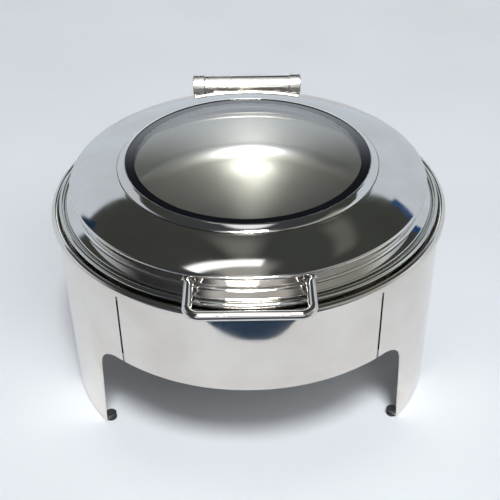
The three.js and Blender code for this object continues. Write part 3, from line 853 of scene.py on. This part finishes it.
class CHAFER_OT_stand_panels(Operator):
    """Rolls the stand's six panels: three fascias over the arches and three legs with foot tabs."""
    bl_idname = "chafer.stand_panels"
    bl_label = "Stand Panels"

    def execute(self, context):
        sizes = context.scene.chafer_stand
        radius, half_seam = sizes.radius / MM, sizes.seam / MM / 2
        top, arch = sizes.top / MM, sizes.arch_top / MM
        half = math.degrees(sizes.panel_half)
        heights = [arch + (top - arch) * i / 4 for i in range(5)]
        spans = {
            "front": (LEGS["left"] + half, LEGS["right"] - half),
            "right": (LEGS["right"] + half, LEGS["rear"] - half),
            "left": (LEGS["rear"] + half, 360.0 + LEGS["left"] - half),
        }
        for side, (start, end) in spans.items():
            reach = math.radians(end - start) / 2 * radius - half_seam
            bm = rolled_panel((start + end) / 2, [(z, reach, 0.0) for z in heights], sizes, FASCIA_COLUMNS)
            piece = rolled_piece(f"{side}_fascia_sheet", bm)
            finished(piece, "stand", "polished_steel", finish("Polished sheet painted brightness"), f"stand_{side}_panel")
        for side, leg in LEGS.items():
            bm = rolled_panel(leg, self.leg_rows(sizes, heights), sizes, LEG_COLUMNS)
            for azimuth in foot_azimuths(leg, sizes):
                add_box(bm, *FOOT_TAB, 0.25, on_ring(azimuth, 0, 0))
            piece = rolled_piece(f"{side}_leg_sheet", bm)
            finished(piece, "stand", "polished_steel", finish("Polished sheet painted brightness"), f"leg_panel_{side}")
        return {"FINISHED"}

    def leg_rows(self, sizes, heights):
        """A leg widens slowly up to the arch corner, runs along its quarter circle and ends at its seams."""
        radius, corner = sizes.radius / MM, sizes.arch_corner / MM
        floor_half = sizes.leg_half * radius
        corner_half = floor_half + sizes.leg_taper / MM
        bottom, spring = sizes.leg_bottom / MM, (sizes.arch_top - sizes.arch_corner) / MM
        seam_half = sizes.panel_half * radius - sizes.seam / MM / 2
        rows = []
        for i in range(7):
            z = bottom + (spring - bottom) * (i / 6)
            rows.append((z, floor_half + (corner_half - floor_half) * z / spring, 0.0))
        for i in range(1, 21):
            a = math.radians(90.0 * i / 20)
            rows.append((spring + corner * math.sin(a), corner_half + corner * (1 - math.cos(a)), 0.0))
        arch_half = rows[-1][1]
        return rows + [(z, arch_half, seam_half - arch_half) for z in heights[1:]]


class CHAFER_OT_stand_frame(Operator):
    """Turns the hoop inside the stand's top edge and the straps behind its seams, which are near black as a painted
    shadow in the seams.
    """
    bl_idname = "chafer.stand_frame"
    bl_label = "Stand Hoop and Straps"

    def execute(self, context):
        sizes = context.scene.chafer_stand
        outer = (sizes.radius - sizes.sheet) / MM - 0.3
        inner, top = outer - 1.4, top_of("stand_top_hoop") / MM
        section = [
            (inner, top - 15.5), (outer, top - 15.5), (outer, top - 1.6), *arc(outer - 1.6, top - 1.6, 1.6, 0, 90, 5),
            (210.0, top), (210.0, top - 1.2), (inner, top - 1.2),
        ]
        hoop = turn("top_hoop", section, steps=context.scene.chafer_studio.segments)
        finished(hoop, "stand", "plain_steel", finish("Plain steel"), "stand_top_hoop")
        half = math.degrees(sizes.panel_half)
        strip = [(inner, 140.0), (outer, 140.0), (outer, top - 17.5), (inner, top - 17.5)]
        for side, leg in LEGS.items():
            for i, seam in enumerate((leg - half, leg + half), 1):
                strap = turn(f"{side}_seam_strip_{i}", strip, seam - 3, seam + 3, 8)
                # The straps take near black steel: a painted shadow seen through each seam's gap.
                finished(strap, "stand", "plain_steel", finish("Seam strap painted shadow"), f"seam_strap_{side}_{i}")
        return {"FINISHED"}


class CHAFER_OT_feet(Operator):
    """Sets two rubber feet in the tabs of every leg."""
    bl_idname = "chafer.feet"
    bl_label = "Rubber Feet"

    def execute(self, context):
        sizes = context.scene.chafer_stand
        circle = sizes.foot_circle / MM
        places = [on_ring(azimuth, circle, 0.0) for leg in LEGS.values() for azimuth in foot_azimuths(leg, sizes)]
        feet = grown("rubber_feet", marks(places), foot_tree(), {
            "Radius": sizes.foot_radius, "Height": FOOT_HEIGHT, "Material": finish("Black rubber"),
        })
        nodes = [f"rubber_foot_{side}_{i}" for side in LEGS for i in (1, 2)]
        finished(feet, "stand", "black_rubber", None, *nodes)
        return {"FINISHED"}


# ---- pans -----------------------------------------------------------------------------------------


class CHAFER_OT_water_pan(Operator):
    """Turns the water pan with its ledge, groove and rolled rim."""
    bl_idname = "chafer.water_pan"
    bl_label = "Water Pan"

    def execute(self, context):
        sizes = context.scene.chafer_pans
        floor, ledge, groove = sizes.water_floor / MM, sizes.ledge / MM, sizes.groove / MM
        rim, lip = sizes.rim_radius / MM, sizes.lip / MM
        curl = rim - 2 * lip
        line = [
            (0.0, floor), (90.0, floor), *arc(178.0, floor + 14, 14, -90, -8, 14),  # floor and its corner
            *bend((203.0, ledge - 2.2), (203.3, ledge), (205.4, ledge), 6),  # wall, onto the ledge
            *bend((211.6, ledge), (213.0, ledge), (213.4, ledge - 1.6), 6),  # ledge's outer edge
            *bend((214.3, groove + 1.2), (214.6, groove), (216.0, groove), 6),  # groove
            *bend((curl - 1.0, groove), (curl - 0.1, groove), (curl + 0.1, groove + 1.0), 5),
            *arc(rim - lip, groove - 0.2, lip, 163, 0, 24), (rim, groove - 5.4),  # rolled rim
        ]
        pan = turn("water_pan_sheet", sheet(line, sizes.sheet / MM), steps=context.scene.chafer_studio.segments)
        finished(pan, "pan", "polished_steel", finish("Polished sheet painted brightness"), "water_pan")
        return {"FINISHED"}


class CHAFER_OT_food_pan(Operator):
    """Turns the satin food pan with its flange and bead."""
    bl_idname = "chafer.food_pan"
    bl_label = "Food Pan"

    def execute(self, context):
        sizes = context.scene.chafer_pans
        floor, flange = sizes.food_floor / MM, sizes.ledge / MM + 1.3
        line = [
            (0.0, floor), (80.0, floor), *arc(152.0, floor + 22, 22, -90, -10, 20),  # floor and its corner
            *bend((179.4, flange - 2.4), (179.9, flange), (182.4, flange), 7),  # wall, onto the flange
            (200.0, flange), (213.7, flange), *arc(217.2, flange - 0.5, 3.5, 150, -90, 26),  # flange and bead
        ]
        pan = turn("food_pan_sheet", sheet(line, sizes.sheet / MM), steps=context.scene.chafer_studio.segments)
        finished(pan, "pan", "satin_steel", finish("Satin steel"), "food_pan")
        return {"FINISHED"}


# ---- lid ------------------------------------------------------------------------------------------

CONE_EDGE = (203.4, 262.2, 3.0)  # middle and radius of the roll between the cone and the skirt
ROLL_START = 69.0  # degrees round that roll at which the cone ends
HANDLE_ROOT = 254.3  # height of the handle's roots, and of the hinge arm's screws
HANDLE_BAR = (-248.0, 252.0)  # depth and height of the handle's bar
SKIRT_SCREW_DEPTH = 1.6  # from the skirt's outer face to a screw head behind it
ARM_SCREWS = (172.0, 188.0)
BEZEL_SCREWS = (30.0, 90.0, 150.0, 210.0, 270.0, 330.0)


def skirt_radius(z, tilt):
    """Radius of the skirt's outer face at a height."""
    r, edge, roll = CONE_EDGE
    return r + roll * math.cos(tilt) - (edge - roll * math.sin(tilt) - z) * math.tan(tilt)


def on_skirt(azimuth, z, tilt):
    """A place on the skirt, square to its sheet, with -Y outwards."""
    return on_ring(azimuth, skirt_radius(z, tilt), z, math.degrees(tilt))


def behind_skirt(azimuth, tilt):
    """A screw's place behind the skirt, with +Z into the lid."""
    inner = Matrix.Translation((0.0, SKIRT_SCREW_DEPTH * MM, 0.0))
    return on_skirt(azimuth, HANDLE_ROOT, tilt) @ inner @ about_x(-90)


class CHAFER_OT_lid_shell(Operator):
    """Turns the lid's shell: window seat, cone, rolled edge, tucked skirt and bead."""
    bl_idname = "chafer.lid_shell"
    bl_label = "Lid Shell"

    def execute(self, context):
        sizes = context.scene.chafer_lid
        seat, tilt = sizes.seat / MM, sizes.skirt_tilt
        r, edge, roll = CONE_EDGE
        start = math.radians(ROLL_START)
        cone_end = (r + roll * math.cos(start), edge + roll * math.sin(start))
        skirt_end = (skirt_radius(248.4, tilt), 248.4)
        line = [
            (134.0, seat), (148.2, seat),  # window's seat
            *bend((148.6, seat), (149.4, seat + 0.1), (149.9, seat + 1.4), 4),  # step behind the bezel
            *bend((150.2, seat + 2.0), (150.6, seat + 2.9), (151.6, seat + 2.6), 4),
            *bend((152.4, 278.3), (178.6, 274.7), cone_end, 40),  # cone
            *arc(r, edge, roll, ROLL_START, -math.degrees(tilt), 14),  # roll onto the skirt
            *bend(skirt_end, (200.1, 245.6), (203.9, 244.3), 12),  # skirt's flare
            *arc(210.5, 240.9, 1.6, 74, -90, 14),  # bead
        ]
        shell = turn("lid_shell_sheet", sheet(line, sizes.sheet / MM), steps=context.scene.chafer_studio.segments)
        finished(shell, "lid", "polished_steel", finish("Polished lid"), "lid_shell")
        return {"FINISHED"}


class CHAFER_OT_window(Operator):
    """Makes the window: glass disc, black gasket under its border and the steel bezel round it."""
    bl_idname = "chafer.window"
    bl_label = "Window"

    def execute(self, context):
        sizes = context.scene.chafer_lid
        steps = context.scene.chafer_studio.segments
        r, low, thick = sizes.glass_radius / MM, sizes.seat / MM + 3.9, sizes.glass / MM
        top = low + thick
        disc = [
            (0.0, low), (r - 0.5, low), (r, low + 0.5), (r, top - 0.5), (r - 0.15, top - 0.15),
            (r - 0.5, top), (0.0, top),
        ]
        glass = turn("window_disc", disc, steps=steps)
        finished(glass, "lid", "window_glass", finish("Window glass"), "window_glass")
        seal = sizes.seat / MM + 0.3
        section = [
            (130.8, seal), (143.3, seal), (143.3, top - 0.3), (r + 0.3, top - 0.3), (r + 0.3, low - 0.3),
            (131.0, low - 0.3), (130.5, low - 0.8), (130.5, seal + 0.3),
        ]
        gasket = turn("window_seal", section, steps=steps)
        finished(gasket, "lid", "black_rubber", finish("Window seal"), "window_gasket")
        lip = top + 0.3
        outline = [
            (143.7, seal), (148.2, seal), (150.1, 279.0),  # underside
            *bend((150.1, 279.5), (149.8, 280.3), (147.8, 281.7), 6),  # sloping top
            *bend((147.8, 281.7), (145.6, 283.2), (142.6, lip + 0.7), 6),
            *arc(141.35, lip + 0.35, 0.35, 90, 270, 6), (143.7, lip),  # thin lip on the glass
        ]
        bezel = turn("window_bezel_ring", outline, steps=steps)
        finished(bezel, "lid", "polished_steel", finish("Polished fittings"), "window_bezel")
        places = [on_ring(a, 145.8, sizes.seat / MM - 1.3, 180.0) for a in BEZEL_SCREWS]
        screws("bezel", "lid", places, *[f"bezel_screw_{i}" for i in range(1, 7)])
        return {"FINISHED"}


class CHAFER_OT_handle(Operator):
    """Bends the handle's rod and seats it on two collars with screws inside the lid."""
    bl_idname = "chafer.handle"
    bl_label = "Handle"

    def execute(self, context):
        sizes = context.scene.chafer_lid
        tilt = sizes.skirt_tilt
        span, (bar_y, bar_z) = sizes.handle_half_span / MM, HANDLE_BAR
        ring = skirt_radius(HANDLE_ROOT, tilt)
        root_y = -math.sqrt(ring * ring - span * span)
        slope = (HANDLE_ROOT - bar_z) / (root_y - bar_y)
        end_y = root_y - 2.6
        end_z = bar_z + slope * (end_y - bar_y)
        line = [(-span, end_y, end_z), (-span, bar_y, bar_z), (span, bar_y, bar_z), (span, end_y, end_z)]
        base = bpy.data.meshes.new("handle_line")
        base.from_pydata([Vector(p) * MM for p in line], [(0, 1), (1, 2), (2, 3)], [])
        rod = grown("handle_rod", base, rod_tree(), {
            "Rod Radius": sizes.rod, "Bend Radius": sizes.handle_bend, "Material": finish("Polished fittings"),
        })
        finished(rod, "lid", "polished_steel", None, "lid_handle")
        lean = math.degrees(math.asin(span / ring))
        collar = [(0.0, 0.4), (6.5, 0.4), (6.8, 0.7), *arc(5.6, 3.0, 1.2, 0, 90, 6), (0.0, 4.2)]
        for side, azimuth in (("left", -lean), ("right", lean)):
            place = on_skirt(azimuth, HANDLE_ROOT, tilt) @ about_x(90)
            washer = turn(f"{side}_handle_collar", collar, steps=48, place=place)
            finished(washer, "lid", "polished_steel", finish("Polished fittings"), f"handle_washer_{side}")
        places = [behind_skirt(a, tilt) for a in (-lean, lean)]
        screws("handle", "lid", places, "handle_screw_left", "handle_screw_right")
        return {"FINISHED"}


# ---- hinge ----------------------------------------------------------------------------------------

TUBE_GAP = 0.5  # between the tube's end and a cap
PAD = (250.0, 258.4)  # lower and upper edge of the arm's pad on the skirt
BRACKET = (236.3, 239.3)  # under and upper side of the bracket's plate
BRACKET_SCREWS = (171.5, 188.5)


def hinge_axis(sizes, x=0.0):
    """Takes a thing turned about +Z to the hinge axis, which runs along +X."""
    return Matrix.Translation((x * MM, sizes.axis_y, sizes.axis_z)) @ Matrix.Rotation(math.radians(90), 4, "Y")


def tube_half(sizes):
    """Half of the hinge tube's length, in millimetres."""
    return (sizes.half_width - sizes.cap_length) / MM - TUBE_GAP


def tube_section(inner, outer, x0, x1, edge):
    """A tube's section with its outer edges rounded."""
    return [
        (inner, x0), *arc(outer - edge, x0 + edge, edge, -90, 0, 4),
        *arc(outer - edge, x1 - edge, edge, 0, 90, 4), (inner, x1),
    ]


class CHAFER_OT_hinge_arm(Operator):
    """Makes the moving half of the hinge: tube, tongue and the pad on the lid's rear skirt."""
    bl_idname = "chafer.hinge_arm"
    bl_label = "Hinge Arm"

    def execute(self, context):
        sizes, tilt = context.scene.chafer_hinge, context.scene.chafer_lid.skirt_tilt
        half = tube_half(sizes)
        tube = turn("tube", tube_section(11.0, sizes.tube / MM, -half, half, 0.4), steps=96, place=hinge_axis(sizes))
        (low, low_z), (high, high_z) = [(skirt_radius(z, tilt) + 0.4, z) for z in PAD]
        section = [
            (low, low_z), *bend((low + 2.0, low_z), (low + 2.6, low_z), (low + 2.7, low_z + 0.4), 3),
            (high + 2.6, high_z), (high, high_z),
        ]
        pad = turn("pad", section, 167.0, 193.0, 40)
        front = skirt_radius(252.0, tilt) - 4.5
        tongue = boxed("tongue", 0.5, ((-45.0, front, 250.6), (45.0, 221.4, 253.6)))
        arm = joined("hinge_arm_sheet", [tube, pad, tongue])
        finished(arm, "lid", "polished_steel", finish("Hinge steel"), "hinge_arm")
        places = [behind_skirt(a, tilt) for a in ARM_SCREWS]
        screws("arm", "lid", places, "arm_screw_1", "arm_screw_2")
        return {"FINISHED"}


class CHAFER_OT_hinge_bracket(Operator):
    """Makes the fixed half of the hinge: bracket, backing strip, end caps and their screws."""
    bl_idname = "chafer.hinge_bracket"
    bl_label = "Hinge Bracket and Caps"

    def execute(self, context):
        sizes = context.scene.chafer_hinge
        half, (bottom, top) = sizes.half_width / MM, BRACKET
        plate = boxed(
            "plate", 0.6, ((-half, 222.5, bottom), (half, 253.0, top)),
            ((-50.0, 250.5, bottom), (50.0, 253.0, top + 9)),
        )
        rim = context.scene.chafer_pans.rim_radius / MM
        apron = turn("apron", [
            (rim + 0.4, 223.0), (rim + 2.6, 223.0), (rim + 3.0, 223.4), (rim + 3.0, top - 1), (rim + 0.4, top - 1),
        ], 165.0, 195.0, 40)
        bracket = joined("hinge_bracket_sheet", [plate, apron])
        finished(bracket, "pan", "polished_steel", finish("Hinge steel"), "hinge_bracket")
        strip = turn("backing_strip", [
            (226.3, 226.8), (228.6, 226.8), (228.6, 231.2), (226.3, 231.2),
        ], 167.0, 193.0, 30)
        finished(strip, "pan", "plain_steel", finish("Plain steel"), "hinge_backing_strip")
        self.end_caps(sizes, half, top)
        middle = half - sizes.cap_length / MM / 2
        places = [Matrix.Translation(Vector((x, 238.0, bottom - 0.3)) * MM) @ about_x(180) for x in (-middle, middle)]
        screws("cap", "pan", places, "cap_screw_left", "cap_screw_right")
        places = [on_ring(a, rim + 3.0 + 0.3, 229.0) @ about_x(90) for a in BRACKET_SCREWS]
        screws("bracket", "pan", places, "bracket_screw_1", "bracket_screw_2")
        return {"FINISHED"}

    def end_caps(self, sizes, half, plate_top):
        """Turned caps at both ends of the tube, each with a foot on the bracket's plate."""
        radius, deep = sizes.cap / MM, sizes.cap_length / MM
        section = [
            (0.0, 0.0), (radius - 0.4, 0.0), (radius, 0.4), *arc(radius - 1.6, deep - 1.6, 1.6, 0, 90, 8),
            (0.0, deep),
        ]
        for side, sign in (("left", -1), ("right", 1)):
            place = hinge_axis(sizes, sign * (half - deep))
            if sign < 0:
                place = place @ about_x(180)
            barrel = turn("barrel", section, steps=64, place=place)
            low_x, high_x = sorted((sign * (half - deep), sign * (half - 1.0)))
            foot = boxed("foot", 0.6, ((low_x, 223.0, plate_top + 0.3), (high_x, 243.0, 250.0)))
            cap = joined(f"{side}_end_cap", [barrel, foot])
            finished(cap, "pan", "polished_steel", finish("Hinge steel"), f"hinge_end_cap_{side}")


class CHAFER_OT_hinge_inside(Operator):
    """Makes what the hinge tube hides: pin, bushes, rotary damper and torsion spring."""
    bl_idname = "chafer.hinge_inside"
    bl_label = "Hinge Inside"

    def execute(self, context):
        sizes = context.scene.chafer_hinge
        end, half, axis = sizes.half_width / MM - 2.5, tube_half(sizes), hinge_axis(sizes)
        pin = turn("pin_rod", [
            (0.0, -end), (3.6, -end), (4.0, 0.4 - end), (4.0, end - 0.4), (3.6, end), (0.0, end),
        ], steps=40, place=axis)
        finished(pin, "pan", "plain_steel", finish("Plain steel"), "hinge_pin")
        rings = (
            ("left_bush", 0.5 - half, 8.0 - half, 10.7, "bush_plastic", "Bush plastic", "hinge_bush_left"),
            ("right_bush", half - 8.0, half - 0.5, 10.7, "bush_plastic", "Bush plastic", "hinge_bush_right"),
            ("damper_body", 9.0 - half, -8.0, 10.3, "damper_plastic", "Damper plastic", "rotary_damper"),
        )
        for name, x0, x1, outer, slot, look, part in rings:
            ring = turn(name, tube_section(4.3, outer, x0, x1, 0.3), steps=48, place=axis)
            finished(ring, "pan", slot, finish(look), part)
        start, length_mm = -5.0, half - 6.0
        place = Matrix.Translation(Vector((start, sizes.axis_y / MM, sizes.axis_z / MM)) * MM)
        spring = grown("spring_coil", marks([place]), spring_tree(), {
            "Coil Radius": 7.6 * MM, "Wire Radius": 1.1 * MM, "Turns": 8.0, "Length": length_mm * MM,
            "Material": finish("Spring steel"),
        })
        finished(spring, "pan", "spring_steel", None, "torsion_spring")
        return {"FINISHED"}


# ---- studio ---------------------------------------------------------------------------------------

# What polished steel mirrors besides the walls and the canopy. The middle, half size and soft border of each
# are (elevation, azimuth) in degrees, with azimuths from the back, +Y, towards +X. The last three numbers
# are a colour. Lamps add to what is there, and patches cover it.
PATCHES = {
    "canopy's middle": ((34.0, 0.0), (3.0, 10.0), (2.5, 5.0), (0.02, 0.022, 0.028)),
    "left notch": ((37.0, -46.0), (2.5, 5.0), (1.0, 2.0), (0.01, 0.03, 0.07)),
    "right notch": ((36.4, 37.0), (0.6, 6.0), (0.6, 2.0), (0.01, 0.06, 0.20)),
}
ROOM_LAMPS = {
    "low window": ("level", (24.0, -1.0), (3.0, 8.0), (3.9, 5.0), (1.3, 1.37, 1.47)),
    "long tube": ("level", (70.3, -17.0), (1.0, 24.0), (2.0, 2.2), (1.6, 1.68, 1.76)),
    "tube's halo": ("level", (76.0, -6.0), (2.0, 12.0), (7.0, 18.0), (0.36, 0.36, 0.35)),
    "faint haze": ("level", (60.0, -3.0), (1.0, 1.5), (13.0, 9.0), (0.15, 0.15, 0.145)),
    "slanted gleam": ("slanted", (38.5, 29.0), (1.0, 8.0), (4.0, 8.0), (0.085, 0.084, 0.076)),
    "ceiling lamp": ("level", (90.0, 0.0), (8.5, 400.0), (4.5, 1.0), (1.1, 1.12, 1.16)),
    "side window": ("level", (24.0, 112.0), (22.0, 26.0), (9.0, 16.0), (0.34, 0.35, 0.32)),
    "front window": ("front", (26.0, 0.0), (31.0, 20.0), (6.0, 12.0), (0.75, 0.76, 0.77)),
}
SIDE_WALLS = (75.0, 110.0)  # azimuths between which the walls go dark
SIDE_TONE = (0.045, 0.05, 0.058)
CANOPY_SOFT = (0.5, 0.7)  # degrees under and over the canopy's edge

# Cards before the chafer that only the steel sees: half width, near edge, far edge and colour.
CARDS = {
    "blue_card": (0.7, -0.446, -0.8, (0.036, 0.065, 0.118)),
    "grey_card": (4.0, -0.8, -6.0, (0.085, 0.09, 0.096)),
}
CARD_HEIGHT = 0.004
FLOOR_REACH = 9.0


def flat(name, half, near, far, height=0.0):
    """A level rectangle that faces up."""
    corners = [(-half, far, height), (half, far, height), (half, near, height), (-half, near, height)]
    mesh = bpy.data.meshes.new(name)
    mesh.from_pydata(corners, [], [(0, 1, 2, 3)])
    return shown(name, mesh)


def cloth(studio):
    """Pale cloth with a fine weave and soft folds."""
    made, tree = new_finish("Cloth floor")
    where = object_place(tree)
    folds = noise(tree, where, scale=3.0, detail=2.0)
    weave = noise(tree, where, scale=700.0, detail=2.0)
    tone = studio.floor[:]
    end_finish(tree, principled(tree, {
        "Base Color": blend(tree, remap(tree, folds, 0.3, 0.7), tone, darker(tone, 0.95)),
        "Roughness": 0.95, "Specular IOR Level": 0.1,
        "Normal": bump(tree, weave, strength=0.3, distance=0.0004,
                       under=bump(tree, folds, strength=0.5, distance=0.006)),
    }))
    return made


def glow(tree, elevation, azimuth, at, half, soft):
    """1 inside a box of directions, falling to 0 over the soft border. Angles are in degrees."""
    masks = []
    for value, middle, reach, border in zip((elevation, azimuth), at, half, soft):
        away = calc(tree, "ABSOLUTE", calc(tree, "SUBTRACT", value, middle))
        masks.append(remap(tree, away, reach, reach + border, 1.0, 0.0, soft=True))
    return calc(tree, "MULTIPLY", *masks)


def room(studio):
    """The room: an even sky for the cloth, and for polished steel pale walls under a dark canopy."""
    world = bpy.data.worlds.new("Room")
    world.use_nodes = True
    tree = world.node_tree
    tree.nodes.clear()
    x, y, z = split(tree, node(tree, "ShaderNodeTexCoord").outputs["Generated"])
    elevation = calc(tree, "MULTIPLY", calc(tree, "ARCSINE", z), math.degrees(1.0))
    azimuth = calc(tree, "MULTIPLY", calc(tree, "ARCTAN2", x, y), math.degrees(1.0))
    sideways = calc(tree, "ABSOLUTE", azimuth)
    edge, (under, over) = math.degrees(studio.canopy_edge), CANOPY_SOFT
    above = remap(tree, elevation, edge - under, edge + over, soft=True)
    look = blend(tree, above, studio.backdrop[:], studio.canopy[:])
    look = blend(tree, remap(tree, sideways, *SIDE_WALLS, soft=True), look, SIDE_TONE)
    for at, half, soft, tone in PATCHES.values():
        look = blend(tree, glow(tree, elevation, azimuth, at, half, soft), look, tone)
    directions = {
        "level": (elevation, azimuth),
        "slanted": (calc(tree, "SUBTRACT", elevation, calc(tree, "MULTIPLY", azimuth, 0.5)), azimuth),
        "front": (elevation, calc(tree, "SUBTRACT", 180.0, sideways)),
    }
    for kind, at, half, soft, light in ROOM_LAMPS.values():
        look = blend(tree, glow(tree, *directions[kind], at, half, soft), look, light, "ADD")
    path = node(tree, "ShaderNodeLightPath").outputs
    sky, seen, wall = (
        node(tree, "ShaderNodeBackground", {"Color": colour_seen, "Strength": strength}).outputs[0]
        for colour_seen, strength in (
            ((1.0, 1.0, 1.0, 1.0), studio.sky_light), (look, 1.0), ((*studio.backdrop, 1.0), 1.0),
        )
    )
    shiny = node(tree, "ShaderNodeMixShader", {0: path["Is Glossy Ray"], 1: wall, 2: seen}).outputs[0]
    both = node(tree, "ShaderNodeMixShader", {0: path["Is Diffuse Ray"], 1: shiny, 2: sky}).outputs[0]
    node(tree, "ShaderNodeOutputWorld", {"Surface": both})
    bpy.context.scene.world = world


def card_glow(name, tone):
    """An evenly glowing card with faint clouds."""
    made, tree = new_finish(name)
    clouds = noise(tree, object_place(tree), scale=2.0, detail=2.0)
    light = node(tree, "ShaderNodeEmission", {"Color": blend(tree, clouds, tone, darker(tone, 0.8))})
    end_finish(tree, light.outputs[0])
    return made


class CHAFER_OT_studio(Operator):
    """Sets the stage: cloth floor, room, cards, lamps and the camera."""
    bl_idname = "chafer.studio"
    bl_label = "Studio"

    def execute(self, context):
        studio = context.scene.chafer_studio
        floor = flat("cloth_floor", FLOOR_REACH, FLOOR_REACH, -FLOOR_REACH)
        floor.data.materials.append(cloth(studio))
        room(studio)
        for name, (half, near, far, tone) in CARDS.items():
            card = flat(name, half, near, far, CARD_HEIGHT)
            card.data.materials.append(card_glow(name, tone))
            card.visible_camera = card.visible_diffuse = card.visible_shadow = False
        self.lamps(studio)
        self.camera()
        context.scene.view_settings.view_transform = "Standard"
        return {"FINISHED"}

    def lamps(self, studio):
        """A wide soft main lamp, a near one that no steel mirrors, and one for the food pan's glare."""
        ground, pan = (0.0, -0.05, 0.0), (0.0, 0.1, 0.2)
        sun = self.lamp("sun", "SUN", (0.15, -1.0, 2.0), ground, studio.sun_power)
        sun.data.angle = math.radians(14.0)
        key = self.lamp("key_lamp", "AREA", (0.45, -1.2, 1.5), ground, studio.key_power)
        key.data.size, key.visible_glossy = 0.7, False
        glare = self.lamp("pan_lamp", "AREA", (-0.1, -1.15, 1.75), pan, studio.pan_power)
        glare.data.size, glare.visible_diffuse = 0.45, False

    def lamp(self, name, kind, place, target, power):
        """A lamp at a place, aimed at a target."""
        lamp = bpy.data.objects.new(name, bpy.data.lights.new(name, kind))
        lamp.data.energy = power
        lamp.location = place
        lamp.rotation_euler = (Vector(target) - Vector(place)).to_track_quat("-Z", "Y").to_euler()
        bpy.context.scene.collection.objects.link(lamp)
        return lamp

    def camera(self):
        """A camera in front of the chafer, looking down on it."""
        place, focal_length, sensor = (0.00065, -0.9325, 0.82785), 67.163, 36.0
        pitch, roll, yaw = (math.radians(a) for a in (36.055, -0.815, 0.025))
        ahead = Vector((math.sin(yaw) * math.cos(pitch), math.cos(yaw) * math.cos(pitch), -math.sin(pitch)))
        right = Vector((math.cos(yaw), -math.sin(yaw), 0.0))
        up = right.cross(ahead)
        right, up = (
            math.cos(roll) * right + math.sin(roll) * up,
            math.cos(roll) * up - math.sin(roll) * right,
        )
        data = bpy.data.cameras.new("front_camera")
        data.lens, data.sensor_width = focal_length, sensor
        camera = bpy.data.objects.new("front_camera", data)
        turned = Matrix((right, up, -ahead)).transposed().to_4x4()
        camera.matrix_world = Matrix.Translation(place) @ turned
        bpy.context.scene.collection.objects.link(camera)
        bpy.context.scene.camera = camera


OPERATORS = (
    CHAFER_OT_stand_panels, CHAFER_OT_stand_frame, CHAFER_OT_feet, CHAFER_OT_water_pan, CHAFER_OT_food_pan,
    CHAFER_OT_lid_shell, CHAFER_OT_window, CHAFER_OT_handle, CHAFER_OT_hinge_arm, CHAFER_OT_hinge_bracket,
    CHAFER_OT_hinge_inside, CHAFER_OT_studio,
)
GROUPS = {
    "chafer_stand": StandSizes, "chafer_pans": PanSizes, "chafer_lid": LidSizes, "chafer_hinge": HingeSizes,
    "chafer_finishes": Finishes, "chafer_studio": Studio,
}


class CHAFER_PT_sidebar(Panel):
    """Lists the chafer's operators and settings."""
    bl_idname = "CHAFER_PT_sidebar"
    bl_label = "Round Chafer"
    bl_space_type = "VIEW_3D"
    bl_region_type = "UI"
    bl_category = "Chafer"

    def draw(self, context):
        column = self.layout.column(align=True)
        for operator in OPERATORS:
            column.operator(operator.bl_idname)
        for key, group in GROUPS.items():
            box = self.layout.box()
            box.label(text=key.replace("chafer_", "").title())
            for name in group.__annotations__:
                box.prop(getattr(context.scene, key), name)


def register():
    """Registers the property groups, the operators and the sidebar."""
    for key, group in GROUPS.items():
        bpy.utils.register_class(group)
        setattr(bpy.types.Scene, key, PointerProperty(type=group))
    for cls in (*OPERATORS, CHAFER_PT_sidebar):
        bpy.utils.register_class(cls)


def unregister():
    """Takes away all that register adds, in the opposite order."""
    for cls in (CHAFER_PT_sidebar, *reversed(OPERATORS)):
        bpy.utils.unregister_class(cls)
    for key, group in reversed(GROUPS.items()):
        delattr(bpy.types.Scene, key)
        bpy.utils.unregister_class(group)


def main():
    """Runs every operator in order."""
    register()
    for operator in OPERATORS:
        group, name = operator.bl_idname.split(".")
        getattr(getattr(bpy.ops, group), name)()


if __name__ == "__main__":
    main()
